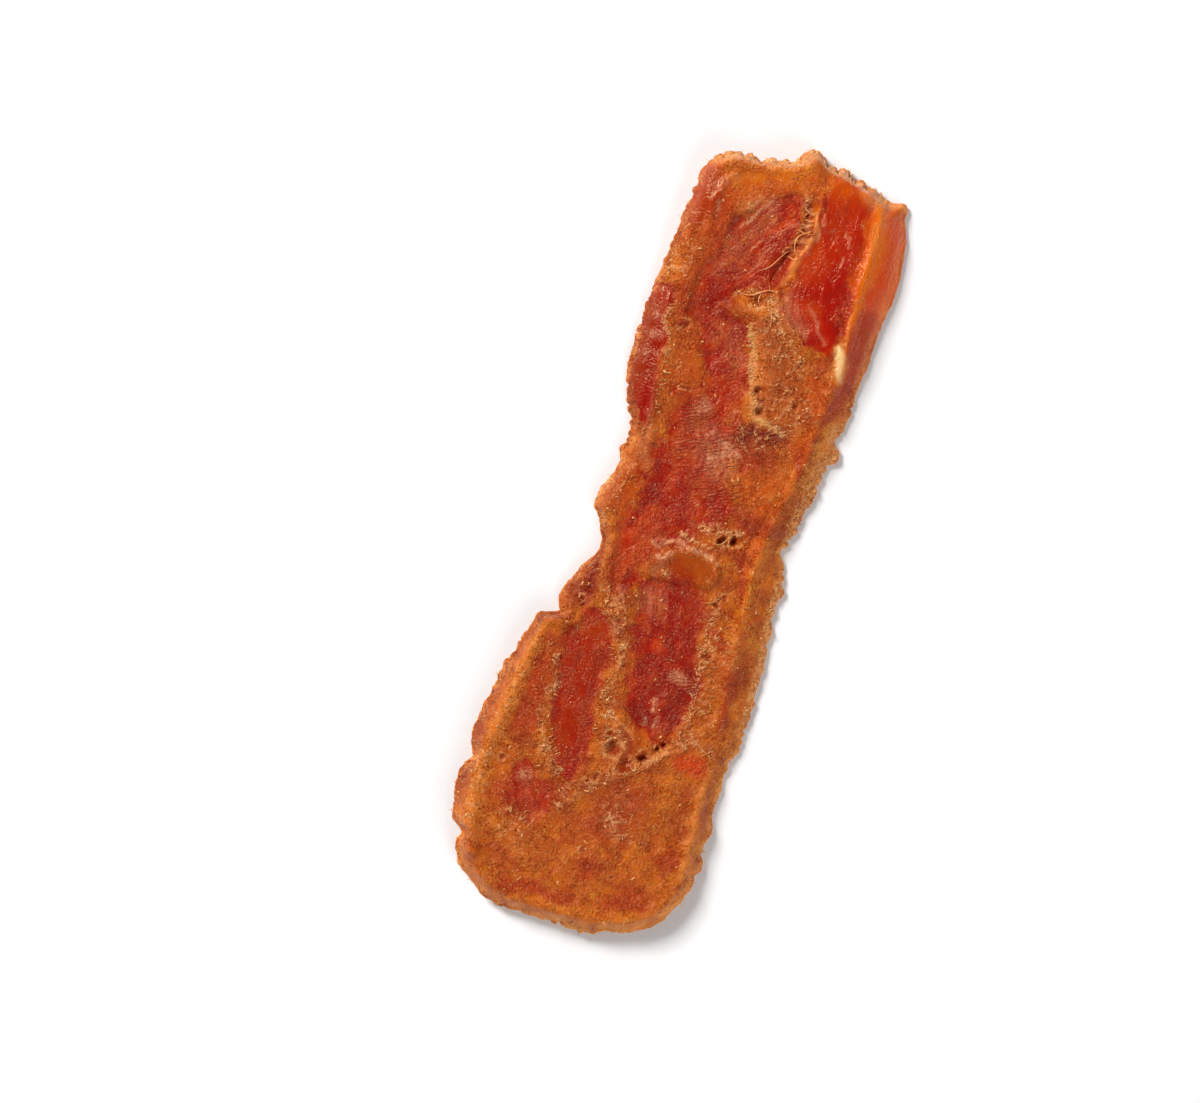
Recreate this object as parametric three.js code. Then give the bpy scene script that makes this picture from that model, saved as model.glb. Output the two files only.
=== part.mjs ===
// One strip of dried chicken: a slice of breast meat, dried flat on a wire rack until it is firm and leathery.
// Millimetres, +Z up. The strip lies on its rack side, its length along Y: the broad cut end, the head, is at +Y
// and the rounded end, the foot, at -Y. The origin is under the middle of the strip, on the table.

import * as THREE from "three";

// Driving dimensions
const SLAB = 3.7; // thickness of the dried slice over most of its area
const HEAD_EXTRA = 2.0; // how much thicker the slice is under the big muscle at the head
const EDGE_LIP = 1.2; // height of the thin dried lip above the underside at the outline
const UNDERCUT = 0.45; // how far the underside rises towards the outline
const WALL_BULGE = 0.3; // how far the torn edge swells between its two faces
const THINNEST = 0.9; // no tear goes deeper than this above the underside
const HEAD_LIFT = 2.2; // how far the head's left corner curled off the rack
const FOOT_LIFT = 1.4; // how far the foot curled off the rack
const RAGGED = 0.3; // size of the small bites in the outline
const LUMPS = 0.35; // size of the uneven swellings of the upper face

// Grid cells across and along the upper face; the plain underside has half as many each way
const ACROSS = 32;
const ALONG = 120;

// Outline, each side from the foot to the head and each end from left to right
const LEFT = [
  [-25.3, -62], [-27.3, -53], [-27, -42], [-25, -33], [-22.8, -24], [-19.5, -18], [-16.8, -11], [-13.2, -4],
  [-15.9, 3.5], [-13.3, 14], [-16.6, 27], [-16.6, 38], [-14.8, 52], [-13.2, 65],
];
const RIGHT = [
  [18, -59], [17.8, -48], [18.4, -38], [19.6, -28], [19.7, -14], [19, 3], [21.2, 17], [23, 30], [24.2, 42],
  [25.7, 55], [25, 62], [23.3, 68],
];
const FOOT = [
  [-25.3, -62], [-21.5, -67], [-15, -70.8], [-6, -71.4], [3, -71.2], [10, -69.3], [15.3, -64.8], [18, -59],
];
const HEAD = [
  [-13.2, 65], [-10, 69.3], [-3, 70.4], [4, 71.8], [9.5, 72], [15.5, 70.8], [19.8, 68.8], [23.3, 68],
];

// Knobs and nicks of the outline: where, how far out (negative bites in) and how wide
const KNOBS = [
  { at: [6, 72], out: 2.2, width: 1.7 },
  { at: [0.5, 71], out: -0.7, width: 2 },
  { at: [23.3, 68.5], out: 1.3, width: 1.6 },
  { at: [21, 26], out: -1.9, width: 1.6 },
  { at: [22, 22.5], out: 1.1, width: 1.8 },
  { at: [19, 3], out: -0.7, width: 2.5 },
  { at: [19.3, -3.5], out: 0.9, width: 3 },
  { at: [18, -48.5], out: 0.9, width: 1.8 },
  { at: [18, -55], out: 0.8, width: 1.6 },
  { at: [-25.5, -60.5], out: -1.8, width: 1.7 },
  { at: [-27, -46.5], out: -1.5, width: 2.2 },
  { at: [-19, -17], out: -1.9, width: 1.5 },
  { at: [-20.5, -19], out: 0.9, width: 1.5 },
  { at: [-13.5, 13.5], out: 1, width: 1.1 },
];

// Bare muscles, islands of crust and flaps, each a brush stroke: how far it rises (negative sinks), and its spine,
// as x, y and half width
const STROKES = [
  // The big muscle at the head's left
  { rise: -0.35, spine: [[4.4, 64, 1.8], [1.4, 59, 4], [-1.2, 54, 5.8], [-3.2, 49.5, 5], [-6, 45, 3.4],
    [-7.5, 41, 2.2]] },
  // The raised muscle at the head's right
  { rise: 0.6, spine: [[13.2, 66.5, 4.5], [13.4, 60, 4.5], [11.8, 52, 5.9], [12.2, 47, 5.5], [14.5, 42.5, 3.2],
    [16.8, 39.8, 1.3]] },
  // Upper muscle
  { rise: -0.3, spine: [[-6.5, 42, 3], [-1.5, 38, 4.8], [0, 32, 4.8], [-1, 26, 5]] },
  // Middle muscle
  { rise: -0.3, spine: [[-2.5, 24, 4.6], [-1.5, 20, 5.4], [-0.5, 15, 8], [-2.5, 9, 8], [-4.4, 2, 6], [-8, -4, 3.2],
    [-7.8, -10, 2]] },
  // Lower muscle
  { rise: -0.5, spine: [[0.5, -9, 5], [2, -15, 6.2], [3, -22, 6.6], [3.5, -29, 6], [4.8, -34.5, 2.8]] },
  // Lower left muscle
  { rise: -0.35, spine: [[-11, -19, 3.2], [-11, -24, 4.4], [-11, -29, 4.2], [-10.5, -34, 3.7], [-9.5, -40, 3.4],
    [-9, -45, 2]] },
  // Small muscle at the foot
  { rise: -0.2, spine: [[-16.6, -46.4, 1.8], [-14.6, -49, 3], [-13, -52.5, 2.4]] },
  // Island of thick crust
  { rise: 0.35, spine: [[4.5, 43, 2.2], [7.5, 38, 3.8], [10.5, 33, 4.6], [14, 28, 4]] },
  // Blister
  { rise: 0.8, spine: [[-3, -5, 2.6], [2, -3.8, 3.3], [6.2, -4.6, 2.2]] },
  // Thin flap at the left
  { rise: -1.2, spine: [[-14, -4.5, 1.8], [-15, -9, 2.4], [-15.5, -14, 2.6], [-15.8, -17, 1.8]] },
  // Rough dent
  { rise: -0.3, spine: [[7, 21.5, 2.4], [12.5, 22.5, 2.2]] },
];

// Raised folds and torn grooves of the upper face: how high (negative cuts in), how wide, and the line
const FOLDS = [
  // Lower left ridge
  { rise: 1.1, width: 1.6, line: [[-15.5, -18.5], [-19.3, -19.5], [-20.5, -23], [-22, -33], [-24, -46], [-24, -52],
    [-23.5, -58], [-21.8, -62.5]] },
  // Foot rim
  { rise: 0.8, width: 1.6, line: [[-21.8, -62.5], [-19, -66], [-13, -68.6], [-7, -69], [0.5, -68.7], [8, -67.7],
    [13, -65], [15.5, -61], [15.8, -55], [15.8, -40]] },
  // Right ridge
  { rise: 0.8, width: 1.3, line: [[18.5, 24.5], [15.8, 12], [14.6, 3], [14, -3], [14, -9], [14.5, -16],
    [15.2, -30]] },
  // Right groove
  { rise: -0.55, width: 1, line: [[16.8, 20], [15.4, 13], [12.6, 3], [12, -2], [12.9, -6], [13, -9.5]] },
  // Head crest
  { rise: 0.7, width: 1.2, line: [[19.3, 67], [19.8, 62], [19.6, 56], [19.3, 50], [19.8, 39], [19.3, 34],
    [18.8, 28]] },
  // Lip of the raised muscle
  { rise: 0.8, width: 0.9, line: [[8.6, 65.5], [8.6, 63], [8.7, 59.3], [8.2, 56], [6.8, 54], [5.8, 51.3], [5.1, 49],
    [5.3, 46.7], [7.5, 43.5], [10, 41], [13.5, 38.5]] },
  // Head tear
  { rise: -0.9, width: 1.1, line: [[7, 63.5], [7.2, 60], [7, 56.8], [6, 54.5], [4.6, 52], [4.2, 49.8]] },
  // Blister rim
  { rise: 0.35, width: 0.9, line: [[-5.6, -4.5], [-5, -2], [-3, -0.6], [0, -0.3], [3, -0.4], [6.5, -1.3],
    [8.2, -3.6]] },
  // Cross tear
  { rise: -0.8, width: 1, line: [[-1.5, 45.6], [2.5, 45], [4.5, 45.4]] },
  // Pitted tear
  { rise: -0.5, width: 1, line: [[0.8, -41], [3.7, -39.2], [6, -36.8], [7, -35.7]] },
  // Foot scarp
  { rise: 0.45, width: 1.2, line: [[-8.5, -50.5], [-6, -46.5], [-4, -45.5], [-1, -43.8], [2, -42.3], [5, -40],
    [8, -37], [10.5, -35.2]] },
  // Head lip
  { rise: 1, width: 1.5, line: [[-11.5, 67.5], [-8, 68.5], [-3, 69.2], [1, 69.7], [5.5, 71.5]] },
  // Head right lip
  { rise: 0.6, width: 1.2, line: [[8, 70.6], [12, 70.3], [16, 69.7], [19.5, 67.8]] },
  // Upper left crest
  { rise: 0.35, width: 1, line: [[-13.3, 41], [-12, 37], [-11.7, 32], [-11.2, 27], [-10.7, 21], [-9.8, 16]] },
  // Left facet fold
  { rise: 0.5, width: 1, line: [[-7.2, 66], [-8.8, 64], [-10, 60], [-9.8, 55]] },
  // Muscle fold
  { rise: 0.3, width: 0.9, line: [[-9.4, -22], [-9.6, -28], [-9.2, -34]] },
  // Pink fold
  { rise: 0.6, width: 1.4, line: [[-7, -4.5], [-7.6, -8], [-6.6, -12.5]] },
];

// Widths over which the upper face climbs from the lip: narrow round edges, wide bevels where it was cut aslant
const REACH = 2.6;
const HEAD_BEVEL = { side: 1, from: 27, to: 66, reach: 6.2 };
const LEFT_BEVEL = { side: -1, from: 14, to: 46, reach: 4.6 };
const RIGHT_BEVEL = { side: 1, from: -42, to: 24, reach: 5.2 };
const BEVEL_BLEND = 6; // length over which a bevel starts and ends

const smooth = (low, high, x) => {
  const t = Math.min(1, Math.max(0, (x - low) / (high - low)));
  return t * t * (3 - 2 * t);
};

// A repeatable number from 0 to 1 for a whole-numbered place
const hash = (ix, iy, seed) => {
  const s = Math.sin(ix * 127.1 + iy * 311.7 + seed * 74.7) * 43758.5453;
  return s - Math.floor(s);
};

// Value noise from -1 to 1: hashed grid values joined by smooth steps
function noise(x, y, seed) {
  const ix = Math.floor(x);
  const iy = Math.floor(y);
  const fx = smooth(0, 1, x - ix);
  const fy = smooth(0, 1, y - iy);
  const low = THREE.MathUtils.lerp(hash(ix, iy, seed), hash(ix + 1, iy, seed), fx);
  const high = THREE.MathUtils.lerp(hash(ix, iy + 1, seed), hash(ix + 1, iy + 1, seed), fx);
  return THREE.MathUtils.lerp(low, high, fy) * 2 - 1;
}

// Nearest place of a polyline to a point: the distance, the segment's number and the share along it
function nearest(x, y, line) {
  let best = { distance: Infinity, segment: 0, share: 0 };
  for (let i = 0; i + 1 < line.length; i++) {
    const [ax, ay] = line[i];
    const dx = line[i + 1][0] - ax;
    const dy = line[i + 1][1] - ay;
    const share = Math.min(1, Math.max(0, ((x - ax) * dx + (y - ay) * dy) / (dx * dx + dy * dy)));
    const distance = Math.hypot(x - ax - share * dx, y - ay - share * dy);
    if (distance < best.distance) best = { distance, segment: i, share };
  }
  return best;
}

// A side of the outline as evenly spaced points of a smooth curve through its few given ones
const side = (points, cells) =>
  new THREE.SplineCurve(points.map(([x, y]) => new THREE.Vector2(x, y)))
    .getSpacedPoints(cells)
    .map((p) => [p.x, p.y]);

// The flat grid: every point is blended from the four sides, so the rows follow the outline
function flatGrid(across, along) {
  const foot = side(FOOT, across);
  const head = side(HEAD, across);
  const left = side(LEFT, along);
  const right = side(RIGHT, along);
  const rows = [];
  for (let j = 0; j <= along; j++) {
    const v = j / along;
    rows.push([]);
    for (let i = 0; i <= across; i++) {
      const u = i / across;
      rows[j].push([0, 1].map((axis) =>
        (1 - v) * foot[i][axis] + v * head[i][axis] + (1 - u) * left[j][axis] + u * right[j][axis] -
        (1 - u) * (1 - v) * foot[0][axis] - u * (1 - v) * foot[across][axis] -
        (1 - u) * v * head[0][axis] - u * v * head[across][axis]));
    }
  }
  return rows;
}

// Grid places of the outline, anticlockwise from the foot's left corner
function border(across, along) {
  const ring = [];
  for (let i = 0; i < across; i++) ring.push([i, 0]);
  for (let j = 0; j < along; j++) ring.push([across, j]);
  for (let i = across; i > 0; i--) ring.push([i, along]);
  for (let j = along; j > 0; j--) ring.push([0, j]);
  return ring;
}

const fineGrid = flatGrid(ACROSS, ALONG);
const OUTLINE = border(ACROSS, ALONG).map(([i, j]) => fineGrid[j][i]);
OUTLINE.push(OUTLINE[0]);

// How far a place on the outline is pushed out by its knobs and its small bites
function outward(x, y) {
  const knobs = KNOBS.reduce(
    (sum, { at, out, width }) => sum + out * Math.exp(-((x - at[0]) ** 2 + (y - at[1]) ** 2) / width ** 2), 0);
  return knobs + RAGGED * (noise(x / 2.6, y / 2.6, 5) + noise(x / 6.5, y / 6.5, 6));
}

// A grid point moved by the ragged outline, fading inwards, with its distance from the outline
function torn([x, y]) {
  const { distance, segment, share } = nearest(x, y, OUTLINE);
  const [a, b] = [OUTLINE[segment], OUTLINE[segment + 1]];
  const length = Math.hypot(b[0] - a[0], b[1] - a[1]);
  const edge = [a[0] + share * (b[0] - a[0]), a[1] + share * (b[1] - a[1])];
  const push = outward(...edge) * Math.exp(-((distance / 3) ** 2));
  return { x: x + (push * (b[1] - a[1])) / length, y: y - (push * (b[0] - a[0])) / length, distance };
}

// How far the underside has curled off the table
function bed(x, y) {
  const head = HEAD_LIFT * smooth(34, 74, y) * (1 - smooth(-14, 22, x));
  const foot = FOOT_LIFT * smooth(-44, -74, y);
  return head + foot;
}

const underside = (x, y, distance) => bed(x, y) + UNDERCUT * (1 - smooth(0, 2.2, distance));

// Whether a point lies along a bevelled stretch of the edge, from 0 to 1
function onBevel(x, y, { side, from, to }) {
  const middle = 3 - 6 * smooth(-5, -35, y);
  const along = smooth(from - BEVEL_BLEND, from, y) * (1 - smooth(to, to + BEVEL_BLEND, y));
  return along * smooth(0, 6, side * (x - middle));
}

// How far a point lies inside a brush stroke: 1 inside it and 0 outside, with a soft border
function inStroke(x, y, spine) {
  const { distance, segment, share } = nearest(x, y, spine);
  const half = THREE.MathUtils.lerp(spine[segment][2], spine[segment + 1][2], share);
  return 1 - smooth(0.7, 1.3, distance / half);
}

// Height of everything that stands out of the upper face or sinks into it
function relief(x, y) {
  const lumps = LUMPS * (0.7 * noise(x / 8, y / 8, 1) + 0.5 * noise(x / 3.6, y / 3.6, 2));
  const strokes = STROKES.reduce((sum, { rise, spine }) => sum + rise * inStroke(x, y, spine), 0);
  const folds = FOLDS.reduce(
    (sum, { rise, width, line }) => sum + rise * Math.exp(-((nearest(x, y, line).distance / width) ** 2)), 0);
  return lumps + strokes + folds;
}

// The upper face climbs from the lip to the slab's full height, and carries the folds, muscles and tears
function upperFace(x, y, distance) {
  const bevels = [HEAD_BEVEL, LEFT_BEVEL, RIGHT_BEVEL];
  const reach = bevels.reduce((sum, bevel) => sum + (bevel.reach - REACH) * onBevel(x, y, bevel), REACH);
  const climb = 1 - (1 - Math.min(1, distance / reach)) ** 2;
  const slab = SLAB + HEAD_EXTRA * smooth(8, 50, y) * smooth(-6, 12, x);
  const low = bed(x, y);
  const height = low + EDGE_LIP + (slab - EDGE_LIP) * climb + relief(x, y) * smooth(0, 1.8, distance);
  return Math.max(height, low + THINNEST);
}

// The closed strip: upper face, a swelling torn edge, and the plainer underside at half the fineness
function strip() {
  const positions = [];
  const faces = [];
  const add = (x, y, z) => positions.push(x, y, z) / 3 - 1;

  const top = fineGrid.map((row) => row.map((point) => {
    const { x, y, distance } = torn(point);
    return add(x, y, upperFace(x, y, distance));
  }));
  const bottom = flatGrid(ACROSS / 2, ALONG / 2).map((row) => row.map((point) => {
    const { x, y, distance } = torn(point);
    return add(x, y, underside(x, y, distance));
  }));
  for (let j = 0; j < ALONG; j++)
    for (let i = 0; i < ACROSS; i++)
      faces.push(top[j][i], top[j][i + 1], top[j + 1][i + 1], top[j][i], top[j + 1][i + 1], top[j + 1][i]);
  for (let j = 0; j < ALONG / 2; j++)
    for (let i = 0; i < ACROSS / 2; i++)
      faces.push(bottom[j][i], bottom[j + 1][i + 1], bottom[j][i + 1],
        bottom[j][i], bottom[j + 1][i], bottom[j + 1][i + 1]);

  const upper = border(ACROSS, ALONG).map(([i, j]) => top[j][i]);
  const lower = border(ACROSS / 2, ALONG / 2).map(([i, j]) => bottom[j][i]);
  const middle = upper.map((index, k) => {
    const [x, y, z] = positions.slice(index * 3, index * 3 + 3);
    const before = upper[(k + upper.length - 1) % upper.length] * 3;
    const after = upper[(k + 1) % upper.length] * 3;
    const dx = positions[after] - positions[before];
    const dy = positions[after + 1] - positions[before + 1];
    const bulge = WALL_BULGE * (1 + noise(x / 2, y / 2, 7)) / Math.hypot(dx, dy);
    return add(x + dy * bulge, y - dx * bulge, (z + underside(x, y, 0)) / 2);
  });
  upper.forEach((index, k) => {
    const next = (k + 1) % upper.length;
    faces.push(index, middle[k], middle[next], index, middle[next], upper[next]);
  });
  lower.forEach((index, k) => {
    const next = lower[(k + 1) % lower.length];
    const [a, b, c] = [middle[2 * k], middle[2 * k + 1], middle[(2 * k + 2) % middle.length]];
    faces.push(a, index, b, b, index, next, b, next, c);
  });

  const geometry = new THREE.BufferGeometry();
  geometry.setAttribute("position", new THREE.Float32BufferAttribute(positions, 3));
  geometry.setIndex(faces);
  geometry.computeBoundingBox();
  const centre = geometry.boundingBox.getCenter(new THREE.Vector3());
  geometry.translate(-centre.x, -centre.y, 0);
  geometry.computeVertexNormals();
  return geometry;
}

const driedMeat = new THREE.MeshStandardMaterial({ color: "#b5551f", roughness: 0.5, metalness: 0 });

const jerky = new THREE.Group();
const meat = new THREE.Mesh(strip(), driedMeat);
meat.name = "jerky_strip";
jerky.add(meat);

export default jerky;
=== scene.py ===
import math
import bpy
import numpy as np
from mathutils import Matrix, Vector


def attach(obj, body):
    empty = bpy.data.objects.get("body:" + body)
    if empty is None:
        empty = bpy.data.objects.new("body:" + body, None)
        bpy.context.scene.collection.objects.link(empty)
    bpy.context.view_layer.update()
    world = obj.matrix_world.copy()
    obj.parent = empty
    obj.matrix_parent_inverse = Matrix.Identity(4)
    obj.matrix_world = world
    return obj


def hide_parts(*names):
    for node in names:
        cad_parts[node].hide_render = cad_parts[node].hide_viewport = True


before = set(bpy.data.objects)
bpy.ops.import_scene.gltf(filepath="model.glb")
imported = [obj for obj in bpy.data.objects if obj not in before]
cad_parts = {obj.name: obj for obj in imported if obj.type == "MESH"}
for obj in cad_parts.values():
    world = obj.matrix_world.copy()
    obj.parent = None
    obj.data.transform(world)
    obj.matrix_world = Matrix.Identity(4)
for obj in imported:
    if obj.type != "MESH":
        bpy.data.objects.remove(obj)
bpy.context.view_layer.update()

# The strip: one slice of chicken breast, dried flat on a wire rack until its outside is a grainy golden
# crust. Where the crust is thin, the red muscle shows through it like a window. It is one closed skin over
# the same outline and folds as the solid, worked out in millimetres with the head at +Y and the foot at -Y.

MM = 0.001
SLAB = 3.7
HEAD_EXTRA = 2.0
EDGE_LIP = 1.2
UNDERCUT = 0.45
THINNEST = 0.9
HEAD_LIFT = 2.2
FOOT_LIFT = 1.4
LEFT_SIDE = [
    (-25.3, -62), (-27.3, -53), (-27, -42), (-25, -33), (-22.8, -24), (-19.5, -18), (-16.8, -11),
    (-13.2, -4), (-15.9, 3.5), (-13.3, 14), (-16.6, 27), (-16.6, 38), (-14.8, 52), (-13.2, 65),
]
RIGHT_SIDE = [
    (18, -59), (17.8, -48), (18.4, -38), (19.6, -28), (19.7, -14), (19, 3), (21.2, 17), (23, 30),
    (24.2, 42), (25.7, 55), (25, 62), (23.3, 68),
]
FOOT_END = [
    (-25.3, -62), (-21.5, -67), (-15, -70.8), (-6, -71.4), (3, -71.2), (10, -69.3), (15.3, -64.8),
    (18, -59),
]
HEAD_END = [
    (-13.2, 65), (-10, 69.3), (-3, 70.4), (4, 71.8), (9.5, 72), (15.5, 70.8), (19.8, 68.8), (23.3, 68),
]
# Knobs and nicks of the outline: x, y, how far out (negative bites in) and how wide
KNOBS = [
    (6, 72, 2.2, 1.7), (0.5, 71, -0.7, 2), (23.3, 68.5, 1.3, 1.6), (21, 26, -1.9, 1.6),
    (22, 22.5, 1.1, 1.8), (19, 3, -0.7, 2.5), (19.3, -3.5, 0.9, 3), (18, -48.5, 0.9, 1.8),
    (18, -55, 0.8, 1.6), (-25.5, -60.5, -1.8, 1.7), (-27, -46.5, -1.5, 2.2), (-19, -17, -1.9, 1.5),
    (-20.5, -19, 0.9, 1.5), (-13.5, 13.5, 1, 1.1),
]
ACROSS = 135
ALONG = 480


def smooth_step(low, high, x):
    """0 at low, 1 at high, and 3tt - 2ttt between them, where t is the share of the way."""
    t = np.clip((x - low) / (high - low), 0, 1)
    return t * t * (3 - 2 * t)


def hashed(ix, iy, seed):
    """A repeatable number from 0 to 1 for a whole-numbered place: the fraction of a large sine."""
    s = np.sin(ix * 127.1 + iy * 311.7 + seed * 74.7) * 43758.5453
    return s - np.floor(s)


def noise(x, y, size, seed):
    """Value noise from -1 to 1 in patches of about that size: hashed grid values joined by smooth steps."""
    x, y = x / size, y / size
    ix, iy = np.floor(x), np.floor(y)
    fx, fy = smooth_step(0, 1, x - ix), smooth_step(0, 1, y - iy)
    low = hashed(ix, iy, seed) * (1 - fx) + hashed(ix + 1, iy, seed) * fx
    high = hashed(ix, iy + 1, seed) * (1 - fx) + hashed(ix + 1, iy + 1, seed) * fx
    return (low * (1 - fy) + high * fy) * 2 - 1


def grains(x, y, size, seed):
    """Height of packed round grains of about that size, 1 at their middles and about 0 where they meet: 1
    less the squared distance to the nearest of the points strewn one to each square of a net."""
    x, y = x / size, y / size
    ix, iy = np.floor(x), np.floor(y)
    nearest = np.full(x.shape, 9.0)
    for dx in (-1, 0, 1):
        for dy in (-1, 0, 1):
            px = ix + dx + 0.1 + 0.8 * hashed(ix + dx, iy + dy, seed)
            py = iy + dy + 0.1 + 0.8 * hashed(ix + dx, iy + dy, seed + 1)
            nearest = np.minimum(nearest, (x - px) ** 2 + (y - py) ** 2)
    return np.clip(1 - nearest, 0, 1)


def bell(distance, width):
    """A bell curve: 1 at no distance, and e to the power of -1 at one width."""
    return np.exp(-((distance / width) ** 2))


def beside(x, y, line):
    """Distance from each place to a line, how far along it the nearest spot lies, counted in stretches, and
    the side it lies on, 1 to the left and -1 to the right."""
    distance = np.full(x.shape, np.inf)
    run = np.zeros(x.shape)
    side = np.zeros(x.shape)
    for k, ((ax, ay), (bx, by)) in enumerate(zip(line[:-1], line[1:])):
        dx, dy = bx - ax, by - ay
        share = np.clip(((x - ax) * dx + (y - ay) * dy) / (dx * dx + dy * dy), 0, 1)
        ox, oy = x - ax - share * dx, y - ay - share * dy
        here = np.hypot(ox, oy)
        closer = here < distance
        distance = np.where(closer, here, distance)
        run = np.where(closer, k + share, run)
        side = np.where(closer, np.sign(dx * oy - dy * ox), side)
    return distance, run, side


def smooth_curve(points, cells):
    """Evenly spaced places on the curve through the points: between two of them it is the cubic whose slope
    at each is half the step from the point before to the point after."""
    p = np.array([points[0], *points, points[-1]], float)
    t = np.linspace(0, 1, 40, endpoint=False)[:, None]
    stretches = []
    for a, b, c, d in zip(p[:-3], p[1:-2], p[2:-1], p[3:]):
        start, end = (c - a) / 2, (d - b) / 2
        cubed, squared = 2 * b - 2 * c + start + end, 3 * c - 3 * b - 2 * start - end
        stretches.append(cubed * t**3 + squared * t**2 + start * t + b)
    curve = np.vstack([*stretches, p[-1:]])
    length = np.r_[0, np.cumsum(np.hypot(*np.diff(curve, axis=0).T))]
    even = np.linspace(0, length[-1], cells + 1)
    return np.stack([np.interp(even, length, curve[:, 0]), np.interp(even, length, curve[:, 1])])


def flat_grid(across, along):
    """A grid inside the four sides: the straight blends of the two ends and of the two long sides, added,
    less the blend of the four corners. Its rows so follow the outline."""
    foot, head = smooth_curve(FOOT_END, across), smooth_curve(HEAD_END, across)
    left, right = smooth_curve(LEFT_SIDE, along), smooth_curve(RIGHT_SIDE, along)
    u = np.linspace(0, 1, across + 1)[None, None, :]
    v = np.linspace(0, 1, along + 1)[None, :, None]
    ends = (1 - v) * foot[:, None, :] + v * head[:, None, :]
    sides = (1 - u) * left[:, :, None] + u * right[:, :, None]
    corners = (1 - v) * ((1 - u) * foot[:, 0, None, None] + u * foot[:, -1, None, None])
    corners = corners + v * ((1 - u) * head[:, 0, None, None] + u * head[:, -1, None, None])
    return ends + sides - corners


def border(across, along):
    """Numbers of the grid's places round its outline, anticlockwise from the foot's left corner."""
    number = np.arange((across + 1) * (along + 1)).reshape(along + 1, across + 1)
    return np.r_[number[0, :-1], number[:-1, -1], number[-1, :0:-1], number[:0:-1, 0]]


outline_x, outline_y = flat_grid(ACROSS // 3, ALONG // 3).reshape(2, -1)[:, border(ACROSS // 3, ALONG // 3)]
OUTLINE = np.stack([np.r_[outline_x, outline_x[0]], np.r_[outline_y, outline_y[0]]], axis=1)


def cut_side(x, y):
    """1 along the right side of the head, which the knife left smooth, and 0 elsewhere."""
    return smooth_step(18, 22, x) * smooth_step(30, 36, y)


def torn(x, y):
    """Places moved straight out from the nearest spot of the smooth outline, by its knobs and its bites
    there, less and less inwards along a bell curve, and their distance from the smooth outline."""
    distance, run, _ = beside(x, y, OUTLINE)
    stretch = np.minimum(run.astype(int), len(OUTLINE) - 2)
    step = OUTLINE[stretch + 1] - OUTLINE[stretch]
    spot = OUTLINE[stretch] + step * (run - stretch)[..., None]
    out = step[..., ::-1] * (1, -1) / np.linalg.norm(step, axis=-1, keepdims=True)
    ex, ey = spot[..., 0], spot[..., 1]
    lumpy = 0.3 + 1.3 * smooth_step(-0.4, 0.5, noise(ex, ey, 8, 12))
    coarse = 0.3 * (lumpy * noise(ex, ey, 2.6, 5) + noise(ex, ey, 6.5, 6))
    for at_x, at_y, outward, width in KNOBS:
        coarse = coarse + outward * bell(np.hypot(ex - at_x, ey - at_y), width)
    crumbly = painted(ex, ey, CRUMBLY_EDGES[:2], 0.5)
    burst = 0.35 + smooth_step(-0.4, 0.7, noise(ex, ey, 6, 8)) + 0.9 * crumbly
    ragged = 0.2 * noise(ex, ey, 1.9, 10) + 0.28 * noise(ex, ey, 0.8, 9) + 0.2 * noise(ex, ey, 0.4, 11)
    fine = (1 - 0.9 * cut_side(x, y)) * burst * ragged
    push = coarse * bell(distance, 3) + fine * bell(distance, 0.8)
    moved = np.stack([x, y], axis=-1) + out * push[..., None]
    return moved[..., 0], moved[..., 1], distance


def bed(x, y):
    """How far the dried underside has curled off the table: at the head's left corner and at the foot."""
    head = HEAD_LIFT * smooth_step(34, 74, y) * (1 - smooth_step(-14, 22, x))
    return head + FOOT_LIFT * smooth_step(-44, -74, y)


# Bare muscles, islands and flaps: how far they rise (negative sinks) and a spine of x, y and half width
MUSCLES = {
    "head left": (-0.35, [
        (4.4, 64, 1.8), (1.4, 59, 4), (-1.2, 54, 5.8), (-3.2, 49.5, 5), (-6, 45, 3.4), (-7.5, 41, 2.2)]),
    "head right": (0.6, [
        (13.2, 66.5, 4.5), (13.4, 60, 4.5), (11.8, 52, 5.9), (12.2, 47, 5.5), (14.5, 42.5, 3.2),
        (16.8, 39.8, 1.3)]),
    "upper": (-0.3, [(-6.5, 42, 3), (-1.5, 38, 4.8), (0, 32, 4.8), (-1, 26, 5)]),
    "middle": (-0.3, [
        (-2.5, 24, 4.6), (-1.5, 20, 5.4), (-0.5, 15, 8), (-2.5, 9, 8), (-4.4, 2, 6), (-8, -4, 3.2),
        (-7.8, -10, 2)]),
    "lower": (-0.5, [(0.5, -9, 5), (2, -15, 6.2), (3, -22, 6.6), (3.5, -29, 6), (4.8, -34.5, 2.8)]),
    "lower left": (-0.35, [
        (-11, -19, 3.2), (-11, -24, 4.4), (-11, -29, 4.2), (-10.5, -34, 3.7), (-9.5, -40, 3.4),
        (-9, -45, 2)]),
    "foot": (-0.2, [(-16.6, -46.4, 1.8), (-14.6, -49, 3), (-13, -52.5, 2.4)]),
}
PATCHES = {
    "upper island": (0.35, [(4.5, 43, 2.2), (7.5, 38, 3.8), (10.5, 33, 4.6), (14, 28, 4)]),
    "blister": (0.8, [(-3, -5, 2.6), (2, -3.8, 3.3), (6.2, -4.6, 2.2)]),
    "flap": (-1.2, [(-14, -4.5, 1.8), (-15, -9, 2.4), (-15.5, -14, 2.6), (-15.8, -17, 1.8)]),
    "rough patch": (-0.3, [(7, 21.5, 2.4), (12.5, 22.5, 2.2)]),
}
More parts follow.
